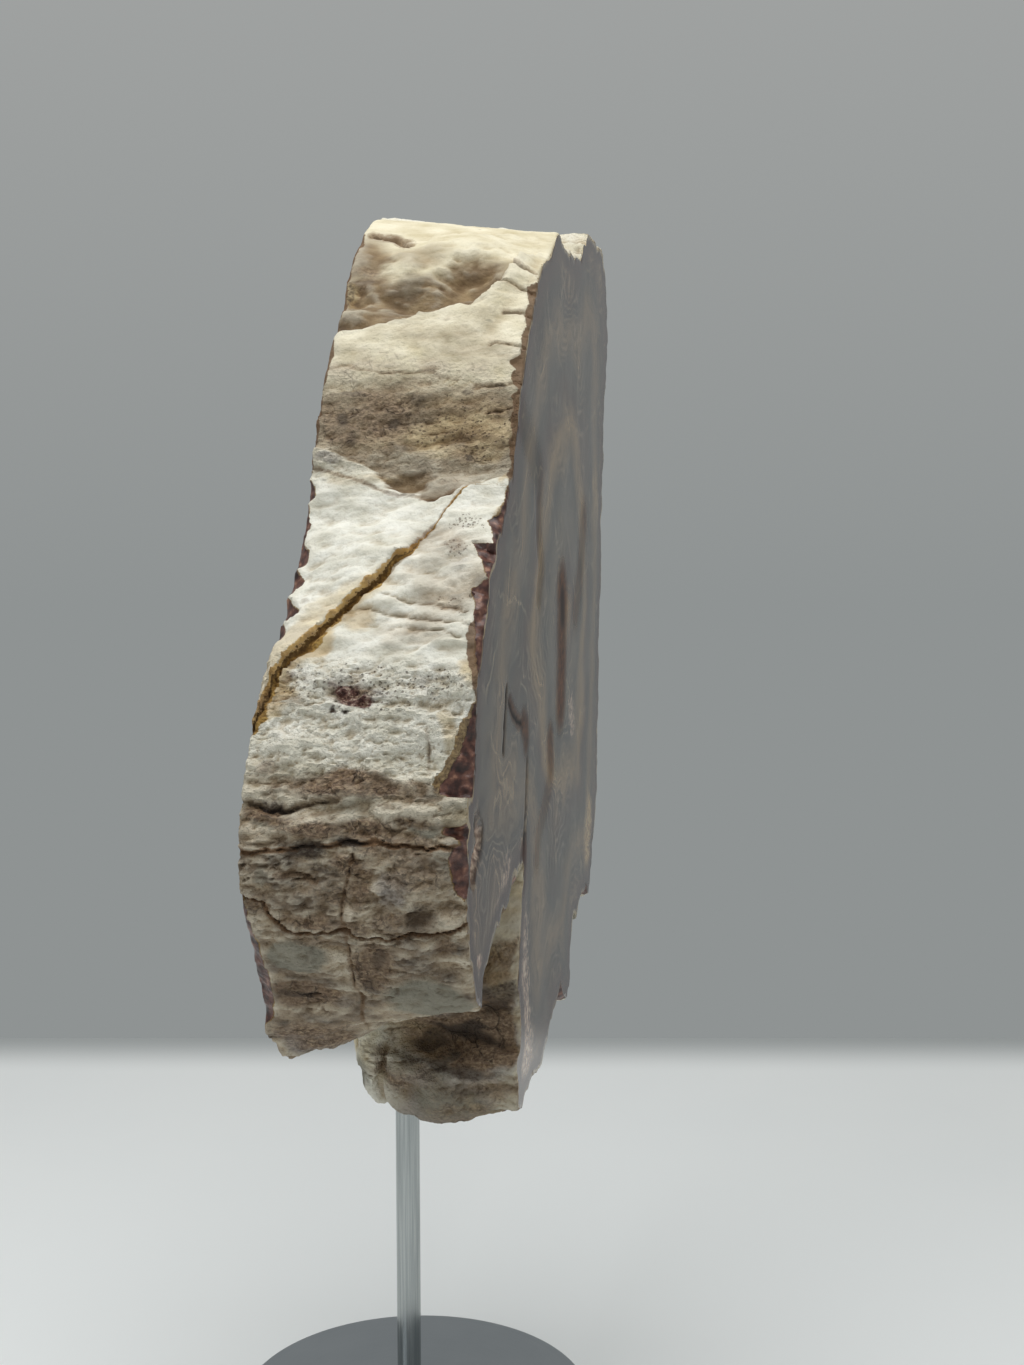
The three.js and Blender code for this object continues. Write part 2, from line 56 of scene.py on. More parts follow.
# The slice's outline, from the top of its near side down, along the bottom and back up its far side.
# Each point is [x and z at the polished face, x and z at the back].
OUTLINE = {
    "near_side": [
        [26.6, 159.7, 26.9, 162.1], [20.4, 156.4, 21.0, 159.8], [13.6, 154.2, 15.4, 155.6],
        [10.0, 151.6, 11.2, 151.4], [7.0, 148.7, 8.5, 147.6], [3.2, 144.8, 4.6, 143.4],
        [0.3, 140.8, 1.3, 140.0], [-3.4, 135.1, -1.6, 135.2], [-5.9, 130.2, -3.9, 130.2],
        [-8.8, 127.0, -5.7, 125.8], [-12.6, 124.0, -7.8, 121.8], [-17.6, 120.6, -11.5, 118.2],
        [-21.9, 115.8, -15.6, 113.8], [-24.9, 111.0, -19.9, 109.4], [-27.2, 106.6, -24.2, 105.8],
        [-28.9, 101.0, -27.9, 101.2], [-30.9, 96.6, -31.0, 96.6], [-33.0, 90.7, -33.1, 90.7],
        [-32.9, 85.5, -33.4, 85.5], [-31.9, 79.6, -32.2, 79.8], [-29.9, 75.0, -29.9, 75.0],
    ],
    "lobe": [[-27.6, 71.6, -27.2, 70.2], [-24.7, 69.8, -24.4, 64.9], [-22.4, 71.4, -21.4, 62.6]],
    "notch": [
        [-18.0, 74.2, -17.4, 59.9], [-14.0, 76.6, -12.5, 58.4], [-8.6, 77.4, -6.6, 58.6],
        [-3.4, 78.2, -1.4, 59.8], [0.6, 79.8, 1.4, 60.4],
    ],
    "lump": [
        [-0.2, 74.5, 2.0, 59.4], [-2.8, 68.5, 2.4, 58.2], [-2.6, 63.4, 2.6, 57.0],
        [-1.2, 59.2, 2.4, 55.6], [-3.2, 55.6, 2.2, 53.8], [-2.6, 51.4, 3.2, 51.2],
        [0.2, 48.2, 6.0, 49.0],
    ],
    "underside": [
        [6.5, 48.9, 11.0, 48.8], [14.9, 50.2, 17.0, 49.6], [21.3, 53.0, 23.0, 51.6],
        [27.5, 54.3, 29.0, 52.4], [34.7, 52.9, 35.0, 51.6], [38.6, 54.8, 39.6, 53.6],
        [39.9, 59.4, 42.3, 57.5], [42.6, 62.9, 45.6, 60.8], [49.4, 63.6, 51.2, 61.6],
        [56.0, 63.4, 57.2, 62.4],
    ],
    "far_side": [
        [59.8, 67.0, 61.5, 65.5], [63.4, 72.4, 64.8, 71.2], [66.6, 79.5, 67.6, 78.6],
        [66.8, 88.0, 69.0, 87.0], [66.9, 97.0, 70.0, 96.0], [68.4, 106.0, 70.8, 105.0],
        [70.0, 115.5, 71.4, 114.5], [70.4, 125.0, 72.0, 124.0], [71.2, 134.0, 73.4, 133.0],
        [74.0, 143.0, 75.4, 142.0], [75.2, 150.5, 76.0, 149.5],
    ],
    "top": [
        [74.2, 156.2, 74.8, 156.4], [70.2, 159.9, 71.0, 160.8], [65.0, 162.3, 65.6, 163.2],
        [58.2, 163.2, 59.0, 164.2], [51.5, 161.7, 52.5, 164.5], [45.5, 159.2, 46.0, 164.2],
        [38.5, 158.9, 39.0, 163.6], [32.2, 159.4, 32.6, 163.0],
    ],
}

# How far in x and z the back's edge is broken away at each point from the notch's end to the underside
BREAK_START = "lump"
BREAK = [
    [2.6, 0.6], [5.0, 0.8], [7.4, 0.6], [9.8, 0.4], [11.4, 0.2], [11.6, 1.0], [10.0, 2.0], [6.8, 1.4],
    [3.0, 0.6],
]
BREAK_REACH = 0.2

# Fineness of the slice's mesh, and the angles past which an edge is sharp
ROWS_PER_POINT = {
    "near_side": 22, "lobe": 16, "notch": 16, "lump": 14, "underside": 11, "far_side": 16, "top": 18,
}
EDGE_COLUMNS = [0, 0.006, 0.014, 0.026, 0.042]
MIDDLE_COLUMNS = np.linspace(0.058, 0.942, 62)
FACE_GRID = 0.85
BACK_GRID = 1.3
STONE_CREASE = 48
METAL_CREASE = 35

outline_points = np.array([point for points in OUTLINE.values() for point in points])
point_count = len(outline_points)


# Shapes that the relief and the colours are made of

def smoothstep(low, high, value):
    share = np.clip((value - low) / (high - low), 0, 1)
    return share * share * (3 - 2 * share)


def bell(distance):
    return np.maximum(0, 1 - distance * distance) ** 2


def plateau(distance):
    """1 in the middle of a patch, falling to 0 at its edge, where the distance is 1."""
    return 1 - smoothstep(0.4, 1, distance)


def band(value, low, high, blur):
    """1 between low and high, falling to 0 over a width of blur on either side."""
    return smoothstep(low - blur, low + blur, value) * (1 - smoothstep(high - blur, high + blur, value))


def along(corners, places):
    """Value at each place along a line of corners [place, value]."""
    starts, values = zip(*corners)
    return np.interp(places, starts, values)


def line_distance(places, corners):
    """Distance from each place to a line of corners, in the plane of both."""
    nearest = np.full(places.shape[:-1], np.inf)
    for start, end in zip(corners, corners[1:]):
        step = end - start
        share = np.clip((places - start) @ step / (step @ step), 0, 1)[..., None]
        nearest = np.minimum(nearest, np.linalg.norm(places - start - share * step, axis=-1))
    return nearest


def deepest(depths):
    return np.maximum.reduce(list(depths))


def noise_at(points, grain, octaves=3, seed=0, falling=1.0):
    """Noise from about -1 to 1 at each point, smoother the faster its finer grains fall off."""
    scaled = (points / np.array(grain) + 31.7 * (seed + 1)).reshape(-1, 3).tolist()
    values = [noise.fractal(place, falling, 2.1, octaves) for place in scaled]
    return 1.6 * np.array(values).reshape(points.shape[:-1])


def cells_at(points, grain, seed=0):
    """Distance in cell sizes from each point to the nearest of scattered seeds."""
    scaled = (points / np.array(grain) + 11.3 * (seed + 1)).reshape(-1, 3).tolist()
    return np.array([noise.voronoi(place)[0][0] for place in scaled]).reshape(points.shape[:-1])


# The rim's outline

def outline_curve(control, rows):
    """Places on the closed centripetal curve through the control points. A row counts points."""
    index = np.floor(rows).astype(int)
    share = (rows - index)[:, None]
    before, here, after, beyond = (control[(index + k) % point_count] for k in (-1, 0, 1, 2))
    pairs = ((before, here), (here, after), (after, beyond))
    gap0, gap1, gap2 = (np.sum((b - a) ** 2, axis=1)[:, None] ** 0.25 for a, b in pairs)
    leave = gap1 * ((here - before) / gap0 - (after - before) / (gap0 + gap1) + (after - here) / gap1)
    arrive = gap1 * ((after - here) / gap1 - (beyond - here) / (gap1 + gap2) + (beyond - after) / gap2)
    square = -3 * here + 3 * after - 2 * leave - arrive
    cube = 2 * here - 2 * after + leave + arrive
    return here + leave * share + square * share**2 + cube * share**3


def break_offsets(rows):
    """How far the back's edge is broken away at each row."""
    points = np.zeros((point_count, 2))
    first = list(map(tuple, outline_points)).index(tuple(OUTLINE[BREAK_START][0]))
    points[first:first + len(BREAK)] = BREAK
    closed = np.vstack([points, points[:1]])
    places = np.arange(point_count + 1)
    return np.stack([np.interp(rows % point_count, places, closed[:, axis]) for axis in (0, 1)], axis=-1)


def rim_plane(rows, v):
    """x and z of the plain outline at each row and each v, before any relief."""
    face = outline_curve(outline_points[:, :2], rows)[:, None]
    back = outline_curve(outline_points[:, 2:], rows)[:, None]
    across = np.asarray(v)[None, :, None]
    broken = np.clip(1 - (1 - across) / BREAK_REACH, 0, 1) ** 2
    return face * (1 - across) + back * across + break_offsets(rows)[:, None] * broken


def rim_normals(rows, v, half_step=0.25):
    tangents = rim_plane(rows + half_step, v) - rim_plane(rows - half_step, v)
    normals = np.stack([tangents[..., 1], -tangents[..., 0]], axis=-1)
    return normals / np.linalg.norm(normals, axis=-1, keepdims=True)


ARC_STEPS = 20
arc_rows = np.arange(point_count * ARC_STEPS + 1) / ARC_STEPS
arc_line = rim_plane(arc_rows, [0.5])[:, 0]
arc_table = np.concatenate([[0], np.cumsum(np.linalg.norm(np.diff(arc_line, axis=0), axis=1))])
girth = arc_table[-1]


def arc_near(place):
    """Distance round the rim of the place nearest to a point of the mid-thickness outline."""
    return arc_table[np.argmin(np.linalg.norm(arc_line - np.array(place), axis=1))]


def arc_between(arcs, other):
    apart = np.abs(arcs - other) % girth
    return np.minimum(apart, girth - apart)


# Relief of the rim

# Lines across the near side as corners [v, height]: the open crack and its foot, the three level cracks
# under it, and the edges of the cream block and of the white plate
CRACK = [
    [0.18, 127.1], [0.25, 125.6], [0.3, 123.8], [0.33, 122.6], [0.38, 121.2], [0.47, 119.0], [0.57, 116.5],
    [0.7, 113.2], [0.81, 110.6], [0.91, 108.0], [0.95, 106.2], [1, 101.4],
]
CRACK_FOOT = [
    [0.38, 120.7], [0.47, 118.5], [0.57, 116.0], [0.7, 112.7], [0.81, 110.0], [0.91, 107.4], [0.95, 105.6],
    [1, 100.8],
]
CRACK_A = [[0.56, 94.2], [0.66, 93.6], [0.78, 93.2], [1, 93.5]]
CRACK_B = [[0, 89.8], [0.24, 89.5], [0.5, 90.0], [0.6, 89.4], [0.76, 88.9], [1, 88.1]]
CRACK_C = [
    [0, 81.0], [0.16, 79.5], [0.26, 79.7], [0.36, 79.0], [0.52, 79.5], [0.57, 79.9], [0.66, 79.4],
    [0.8, 79.5], [0.88, 81.3], [0.9, 82.7], [1, 83.2],
]
CREAM_EDGE = [
    [0.05, 156.6], [0.12, 155.0], [0.19, 151.8], [0.24, 150.0], [0.32, 149.0], [0.4, 148.4], [0.56, 147.4],
    [0.62, 147.0], [0.72, 146.5], [0.83, 145.9], [1, 145.0],
]
WHITE_EDGE = [
    [0, 128.6], [0.1, 127.8], [0.2, 126.9], [0.28, 126.0], [0.38, 125.7], [0.5, 126.4], [0.6, 127.4],
    [0.72, 129.4], [0.83, 130.5], [1, 131.8],
]

# Hollows and lumps of the near side as (height, v, half height, half width in v, rise)
NEAR_MOUNDS = [
    (157.2, 0.4, 2.6, 0.36, 1.5), (152.2, 0.36, 3.8, 0.22, -2.8), (150.2, 0.62, 2.6, 0.32, -2.0),
    (155.0, 0.74, 2.4, 0.14, 0.9), (155.6, 0.95, 3.4, 0.1, 0.8), (150.6, 0.93, 1.6, 0.1, -1.3),
    (147.7, 0.92, 2.0, 0.1, 1.3), (152.6, 0.1, 3.0, 0.1, 0.7), (141.2, 0.4, 4.5, 0.4, 0.6),
    (134.6, 0.5, 4.6, 0.6, -0.7), (127.6, 0.52, 1.7, 0.22, -1.3), (126.4, 0.8, 4.0, 0.26, 0.5),
    (121.0, 0.72, 5.0, 0.3, 0.7), (117.6, 0.3, 1.7, 0.22, 0.6), (115.0, 0.36, 1.5, 0.14, -0.5),
    (105.4, 0.58, 1.7, 0.14, -1.2), (106.2, 0.86, 1.5, 0.1, -0.7), (106.2, 0.25, 1.5, 0.2, -0.5),
    (101.0, 0.3, 4.5, 0.34, 0.6), (99.0, 0.78, 3.4, 0.26, 0.8), (91.8, 0.72, 2.2, 0.26, 0.8),
    (92.6, 0.3, 2.4, 0.24, 0.5), (85.6, 0.3, 3.6, 0.22, 0.7), (86.6, 0.84, 2.6, 0.2, 0.7),
    (81.6, 0.22, 1.6, 0.1, -0.8), (76.6, 0.26, 3.8, 0.2, 0.6), (76.0, 0.74, 3.6, 0.2, 0.7),
]

# Steps as (line, rise, how far above or below the line it sinks back, first v, last v)
NEAR_LEDGES = [
    (CREAM_EDGE, 1.4, -7, 0.08, 1), (WHITE_EDGE, 0.75, -3, 0, 1), (CRACK, 1.0, 9, 0.4, 1),
    ([[0, 103.0], [0.37, 103.6], [0.96, 103.9]], 0.6, -3, 0, 1), (CRACK_A, 0.3, 4, 0.5, 1),
    (CRACK_B, 0.2, 4.5, 0, 1), (CRACK_C, 0.25, 3.5, 0, 1),
    ([[0, 112.0], [0.28, 110.3], [0.34, 109.2]], 0.45, -2, 0, 0.36),
]

# Grooves as (line, width at the face, width at the back, depth, first v)
NEAR_GROOVES = [
    (CRACK_FOOT, 0.6, 1.1, 0.5, 0.46), (CRACK_A, 0.7, 0.8, 0.45, 0.58), (CRACK_B, 0.6, 0.7, 0.32, 0),
    (CRACK_C, 0.6, 0.7, 0.36, 0),
]

# Where an edge is broken away, as (edge, depth, corners [height, reach in v]); the face's edge is 0 and
# the back's is 1. Chips show the glassy red-brown inside, and flakes the brown layer under the crust.
NEAR_CHIPS = [
    (0, 1.5, [
        [107.5, 0], [109, 0.02], [111.5, 0.035], [113, 0.05], [115, 0.06], [116.4, 0.085], [117.3, 0.012],
        [119.3, 0.05], [120.9, 0.11], [121.3, 0.02], [122.2, 0.03], [123.4, 0.06], [124.2, 0.03],
        [126, 0.02], [127.2, 0],
    ]),
    (0, 2.0, [
        [94.9, 0], [95.2, 0.15], [96.4, 0.165], [98.2, 0.12], [99.4, 0.09], [102, 0.055], [104.9, 0],
    ]),
    (0, 1.3, [
        [83.8, 0], [84.6, 0.05], [86, 0.065], [88, 0.075], [89.3, 0.06], [89.8, 0.02], [90.6, 0.03],
        [91, 0.105], [91.8, 0.09], [92.2, 0],
    ]),
    (1, 1.3, [
        [109.6, 0], [110.8, 0.045], [111.6, 0.01], [112.2, 0.08], [113.2, 0.095], [114.3, 0.01],
        [115.6, 0.055], [116.6, 0.075], [117.8, 0.02], [118.6, 0.06], [119.6, 0.065], [120.4, 0.015],
        [122, 0.03], [124.4, 0.02], [125, 0.01], [126, 0.04], [127, 0.03], [127.6, 0],
    ]),
    (1, 1.2, [[66.4, 0], [67.4, 0.05], [72, 0.07], [78, 0.05], [84, 0]]),
]
NEAR_FLAKES = [
    (0, 0.45, [
        [127.4, 0], [128.6, 0.02], [130.2, 0.008], [132, 0.03], [133.6, 0.012], [135.4, 0.035],
        [136.2, 0.015], [137.8, 0.045], [138.4, 0.012], [140.4, 0.05], [141.2, 0.03], [142.2, 0.07],
        [143, 0.022], [145.4, 0.03], [146.4, 0.014], [148, 0.04], [149.4, 0.02], [151.2, 0.045], [152.4, 0],
    ]),
    (1, 0.4, [
        [128, 0], [129.4, 0.02], [131, 0.006], [134, 0.018], [138, 0.008], [141, 0.02], [143, 0.03],
        [145, 0.01], [149, 0.02], [152, 0.008], [155, 0.02], [158, 0.03], [160, 0],
    ]),
    (0, 0.4, [[105, 0], [107.4, 0.03], [109.6, 0.055], [111.6, 0.075], [113, 0.05], [115, 0]]),
]

# Hollows and lumps of the rest of the rim as (place, half length, v, half width in v, rise), and breaks
# of its edges as (place, half length, edge, reach in v, depth)
RIM_MOUNDS = [
    ((-20.0, 64.5), 9, 0.6, 0.42, 2.2), ((-2.6, 62.0), 3.4, 0.3, 0.24, 0.7),
    ((-0.6, 57.6), 2.2, 0.42, 0.3, -0.9), ((1.5, 53.0), 7, 0.73, 0.045, -1.5),
    ((0.8, 52.6), 2.6, 0.4, 0.2, 0.7), ((2.5, 49.0), 9, 0.45, 0.42, 2.9), ((4.4, 49.6), 5, 0.82, 0.13, 2.0),
    ((17.0, 50.4), 5, 0.35, 0.3, -0.8), ((29.0, 53.4), 6, 0.6, 0.35, -1.0),
    ((43.0, 61.2), 4, 0.55, 0.3, -1.1), ((53.0, 62.6), 5, 0.3, 0.3, 0.8), ((64.4, 72.0), 6, 0.6, 0.3, -1.3),
    ((68.0, 84.0), 7, 0.34, 0.34, 1.0), ((68.4, 97.0), 5, 0.7, 0.3, -1.4),
    ((69.8, 108.0), 6, 0.3, 0.26, -1.2), ((71.2, 121.0), 8, 0.62, 0.4, 1.1),
    ((72.4, 134.0), 5, 0.36, 0.28, -1.5), ((75.0, 147.0), 5, 0.66, 0.34, -1.1),
    ((68.0, 161.6), 5, 0.4, 0.3, 0.6), ((56.0, 163.2), 6, 0.5, 0.3, -1.4),
    ((41.0, 161.9), 5, 0.66, 0.26, -1.0), ((33.0, 161.5), 4, 0.3, 0.26, 0.6),
]
RIM_CHIPS = [
    ((-23.6, 67.7), 5.0, 0, 0.1, 2.2), ((-3.0, 66.0), 4.0, 0, 0.09, 1.0), ((6.0, 49.0), 5.0, 0, 0.12, 1.4),
    ((31.0, 53.0), 4.0, 0, 0.1, 1.2), ((52.0, 62.6), 5.5, 0, 0.12, 0.9), ((66.9, 77.6), 5.0, 0, 0.1, 0.8),
    ((70.2, 117.0), 4.5, 0, 0.1, 1.3), ((20.0, 50.8), 5.0, 1, 0.1, 1.4), ((69.4, 100.0), 6.0, 1, 0.1, 1.6),
    ((75.2, 146.0), 5.0, 1, 0.12, 1.5), ((36.0, 161.6), 5.0, 1, 0.1, 1.4),
]

# The bark's ribs are shallow beside the dip in the top
CALM_PLACE = (42.0, 161.6)
CALM_REACH = 24


def near_gap(z, v, item):
    """Distance from the middle of a patch of the near side, 1 at the patch's edge."""
    height, across, tall, wide, _ = item
    return np.hypot((z - height) / tall, (v - across) / wide)


def rest_gap(arc, v, item):
    """Distance from the middle of a patch of the rest of the rim, 1 at the patch's edge."""
    place, length, across, wide, _ = item
    return np.hypot(arc_between(arc, arc_near(place)) / length, (v - across) / wide)


def mounds(gap, along_rim, v, items):
    """Height of all the hollows and lumps of a list, whose items end with how far they rise."""
    return sum(item[-1] * bell(gap(along_rim, v, item)) for item in items)


def patches(gap, along_rim, v, items):
    """Strength of all the patches of one colour, whose items end with how strong they are."""
    return deepest(item[-1] * plateau(gap(along_rim, v, item)) for item in items)


def ledge(z, v, item):
    """A step that stands proud on one side of its line, above it where fall is positive."""
    line, rise, fall, start, stop = item
    fade = smoothstep(start - 0.06, start + 0.06, v) * (1 - smoothstep(stop - 0.06, stop + 0.06, v))
    distance = (z - along(line, v)) * np.sign(fall)
    return rise * smoothstep(-0.2, 0.3, distance) * (1 - smoothstep(0, abs(fall), distance)) * fade


def groove(z, v, swell, item):
    line, face_width, back_width, depth, start = item
    half_width = swell * (face_width * (1 - v) + back_width * v) / 2
    fade = smoothstep(start - 0.05, start + 0.05, v)
    return -depth * bell((z - along(line, v)) / half_width) * fade


def inside_chip(z, v, item):
    """How far each place lies inside a break at the rim's edge, below 0 outside it."""
    edge, _, reach = item
    return (along(reach, z) - np.abs(v - edge)) * THICKNESS


def chip(z, v, item):
    """Depth of a break that starts with a small step in the crust and slopes on down to the edge."""
    inside = inside_chip(z, v, item)
    depth = item[1]
    return np.minimum(depth, 0.25 * smoothstep(0, 0.25, inside) + 0.6 * np.maximum(0, inside))


def rim_chip(arc, v, item):
    place, half_length, edge, reach, depth = item
    across = bell(arc_between(arc, arc_near(place)) / half_length)
    return depth * np.sqrt(across) * np.maximum(0, 1 - np.abs(v - edge) / reach)


def bark(arc, v):
    """Lengthwise ribs and shallow steps, which repeat a whole number of times round the rim."""
    turn = 2 * np.pi * arc / girth
    drift = 0.5 * np.sin(3 * turn + 1) + 0.35 * np.sin(np.pi * v * 1.6 + 5 * turn)
    ribs = 0.3 * np.sin(61 * turn + 2.2 * drift) + 0.18 * np.sin(97 * turn + 3 * drift + 1.7)
    steps = 0.55 * np.sin(23 * turn + 2.6 * v + 2 * drift)
    calm = 1 - 0.7 * bell(np.minimum(1, arc_between(arc, arc_near(CALM_PLACE)) / CALM_REACH))
    return calm * (ribs + steps) - 0.5


# Fine relief and colours of the rim

# How strong each kind of roughness is on the near side, as [height, strength], and on the rest
GRAIN_BY_HEIGHT = [
    [62, 0.08], [72, 0.1], [80, 0.07], [97, 0.04], [108, 0.04], [111, 0.09], [119, 0.05], [127, 0.05],
    [131, 0.08], [139, 0.08], [142, 0.05], [156, 0.05],
]
CRUMBS_BY_HEIGHT = [
    [62, 0.2], [70, 0.24], [76, 0.4], [82, 0.65], [95, 0.65], [98, 0.62], [103, 0.6], [103.9, 0.7],
    [107.5, 0.6], [109, 0.1], [114, 0.08], [127, 0.08], [131, 0.4], [138, 0.34], [141, 0.1], [156, 0.06],
]
FLAKE_BY_HEIGHT = [
    [62, 0.25], [72, 0.35], [80, 0.4], [95, 0.45], [100, 0.3], [109, 0.35], [112, 0.65], [121, 0.55],
    [125, 0.4], [130, 0.4], [139, 0.2], [142, 0.16], [146, 0.06], [156, 0.06],
]
FISSURES_BY_HEIGHT = [
    [62, 0.3], [70, 0.6], [76, 0.25], [80, 0.7], [94, 0.7], [96, 0.25], [98, 0], [128, 0], [131, 0.35],
    [139, 0.35], [141, 0.1], [150, 0.12], [156, 0.08],
]
ROUGH_BY_HEIGHT = [
    [62, 0.9], [80, 1.1], [97, 1.1], [99, 1.2], [107, 1.2], [109, 0.3], [127, 0.3], [130, 1.1], [139, 0.9],
    [142, 0.35], [160, 0.2],
]
REST_GRAIN = 0.14
REST_CRUMBS = 0.25
REST_FLAKES = 0.4
REST_FISSURES = 0.5

# Thin cracks and lines as (corners [v, height], half width, depth, darkness, how rusty the edges are)
FINE_LINES = [
    (CRACK[:4], 0.1, 0.14, 0.15, 0.4), (CRACK[3:6], 0.12, 0.22, 0.3, 0.6), (CRACK_A, 0.24, 0.4, 0.5, 0.35),
    (CRACK_B, 0.18, 0.3, 0.3, 0.85), (CRACK_C, 0.18, 0.35, 0.55, 0.8),
    ([[0.66, 85.2], [0.74, 85.9], [0.82, 86.0]], 0.26, 0.4, 0.4, 0.4),
    ([[0.49, 88.6], [0.55, 82.8], [0.54, 79.2], [0.54, 74.8], [0.52, 70.3], [0.55, 66.5]],
     0.14, 0.35, 0.55, 0.45),
    ([[0.2, 101.8], [0.18, 97.5]], 0.14, 0.25, 0.3, 0.3),
    ([[1, 129.0], [0.93, 128.8], [0.6, 126.5], [0.42, 125.6], [0.26, 126.3]], 0.16, 0.2, 0.15, 0.45),
    ([[0.72, 157.9], [0.79, 158.4], [0.87, 158.9], [0.95, 159.6]], 0.34, 0.8, 0.2, 0.6),
    ([[0.04, 112.6], [0.3, 113.0], [0.62, 113.6]], 0.2, 0.35, 0.15, 0.1),
    ([[0.08, 114.4], [0.34, 114.6], [0.5, 115.2]], 0.2, 0.35, 0.15, 0.1),
    ([[0.05, 111.4], [0.3, 112.0], [0.44, 111.8]], 0.18, 0.3, 0.1, 0.0),
    ([[0.02, 153.5], [0.16, 154.0]], 0.2, 0.4, 0.15, 0.4),
    ([[0.0, 150.6], [0.2, 151.4]], 0.2, 0.4, 0.3, 0.3), ([[0.0, 148.2], [0.14, 148.4]], 0.2, 0.4, 0.3, 0.3),
    ([[0.0, 143.9], [0.18, 144.2]], 0.2, 0.35, 0.3, 0.2),
    ([[0.0, 139.3], [0.22, 138.6]], 0.25, 0.4, 0.6, 0.3),
    ([[0.0, 136.2], [0.15, 136.0]], 0.2, 0.3, 0.4, 0.3),
    ([[0.3, 140.0], [0.62, 140.6], [0.98, 141.2]], 0.15, 0.2, 0.2, 0.2),
]

# Patches of colour on the near side as (height, v, half height, half width in v, strength)
STAINS = [
    (136.0, 0.8, 4.4, 0.5, 0.5), (135.4, 0.66, 3.4, 0.24, 0.6), (134.6, 0.88, 3.4, 0.16, 0.6),
    (130.6, 0.22, 1.6, 0.14, 0.6), (134.4, 0.2, 3.6, 0.3, 0.2), (141.0, 0.5, 3.0, 1.0, 0.3),
    (152.8, 0.92, 2.6, 0.14, 0.5), (127.6, 0.26, 0.8, 0.1, 0.35), (123.0, 0.17, 1.1, 0.12, 0.55),
    (120.5, 0.2, 0.9, 0.12, 0.55), (114.3, 0.18, 0.6, 0.1, 0.4), (105.2, 0.58, 1.3, 0.13, 0.75),
    (105.6, 0.62, 2.0, 0.3, 0.15), (106.3, 0.16, 2.0, 0.16, 0.2), (104.6, 0.84, 0.9, 0.12, 0.55),
    (97.4, 0.9, 1.3, 0.1, 0.55), (96.0, 0.54, 1.6, 0.14, 0.75), (95.6, 0.5, 1.8, 0.4, 0.75),
    (89.6, 0.3, 1.6, 0.26, 0.55), (84.0, 0.6, 2.4, 0.16, 0.5), (78.6, 0.7, 1.2, 0.14, 0.5),
    (95.2, 0.2, 1.6, 0.16, 0.5), (92.4, 0.86, 1.4, 0.2, 0.75), (91.0, 0.66, 1.4, 0.24, 0.75),
    (90.9, 0.42, 1.2, 0.2, 0.66), (87.4, 0.5, 1.6, 0.14, 0.6), (85.4, 0.76, 2.0, 0.16, 0.25),
    (84.6, 0.48, 3.0, 0.08, 0.66), (82.6, 0.92, 2.4, 0.1, 0.6), (80.6, 0.62, 1.1, 0.3, 0.66),
    (81.0, 0.28, 2.4, 0.2, 0.6), (75.6, 0.44, 4.2, 0.14, 0.8), (71.2, 0.78, 2.4, 0.26, 1.0),
    (87.0, 0.2, 3.0, 0.2, 0.5), (65.4, 0.8, 3.4, 0.3, 0.7), (78.2, 0.08, 1.8, 0.12, 0.66),
    (91.8, 0.18, 1.0, 0.2, 0.5),
]
DARKS = [
    (88.6, 0.7, 2.2, 0.12, 0.72), (86.6, 0.62, 0.7, 0.1, 0.5), (84.9, 0.74, 0.6, 0.12, 0.2),
    (93.6, 0.82, 0.6, 0.16, 0.6), (76.6, 0.43, 1.8, 0.05, 0.5), (73.2, 0.45, 1.6, 0.05, 0.5),
    (89.9, 0.5, 0.7, 0.1, 0.8), (81.9, 0.21, 2.5, 0.08, 0.52), (135.3, 0.62, 1.0, 0.05, 0.6),
    (134.9, 0.88, 1.2, 0.05, 0.6), (133.1, 0.82, 1.0, 0.05, 0.5), (130.1, 0.21, 0.5, 0.03, 0.7),
    (137.6, 0.5, 0.8, 0.06, 0.5), (138.4, 0.86, 0.8, 0.08, 0.5), (151.6, 0.27, 2.0, 0.08, 0.3),
    (148.9, 0.68, 0.9, 0.14, 0.3), (151.2, 0.98, 1.2, 0.05, 0.5), (103.2, 0.62, 0.4, 0.02, 1.0),
    (103.3, 0.57, 0.35, 0.02, 1.0), (105.0, 0.56, 0.8, 0.07, 0.3), (70.9, 0.8, 0.6, 0.18, 0.6),
    (71.4, 0.82, 1.8, 0.2, 0.3), (93.7, 0.84, 0.7, 0.14, 0.5), (140.9, 0.45, 0.5, 0.05, 0.35),
    (138.4, 0.26, 0.5, 0.04, 0.5), (97.2, 0.91, 0.5, 0.05, 0.4),
]
# The first six patches, in the hollow under the top's lip, are partly the crust's brown and partly painted
# shade
WASHES = [
    (152.4, 0.34, 4.2, 0.24, 1.0), (150.6, 0.6, 3.4, 0.4, 1.0), (155.6, 0.94, 4.6, 0.2, 0.85),
    (155.8, 0.66, 2.2, 0.26, 0.5), (150.8, 0.86, 3.4, 0.22, 1.0), (148.0, 0.9, 2.0, 0.1, 0.5),
    (127.8, 0.5, 2.0, 0.26, 0.9), (129.6, 0.76, 1.2, 0.16, 0.7), (135.0, 0.5, 6.2, 1.2, 0.8),
    (158.6, 0.86, 0.8, 0.14, 0.6), (140.9, 0.45, 0.8, 0.08, 0.5), (112.9, 0.65, 1.1, 0.06, 0.75),
    (95.8, 0.185, 1.0, 0.03, 0.7), (108.9, 0.05, 3.2, 0.03, 0.6), (89.0, 0.12, 1.0, 0.14, 0.45),
    (92.6, 0.62, 0.8, 0.14, 0.4), (86.4, 0.46, 2.6, 0.05, 0.6), (95.6, 0.46, 0.8, 0.08, 0.45),
    (79.6, 0.08, 1.4, 0.07, 0.55), (80.2, 0.8, 0.8, 0.16, 0.5), (92.8, 0.93, 1.2, 0.05, 0.5),
    (69.6, 0.74, 0.7, 0.16, 0.45), (103.9, 0.8, 0.5, 0.16, 0.4),
]
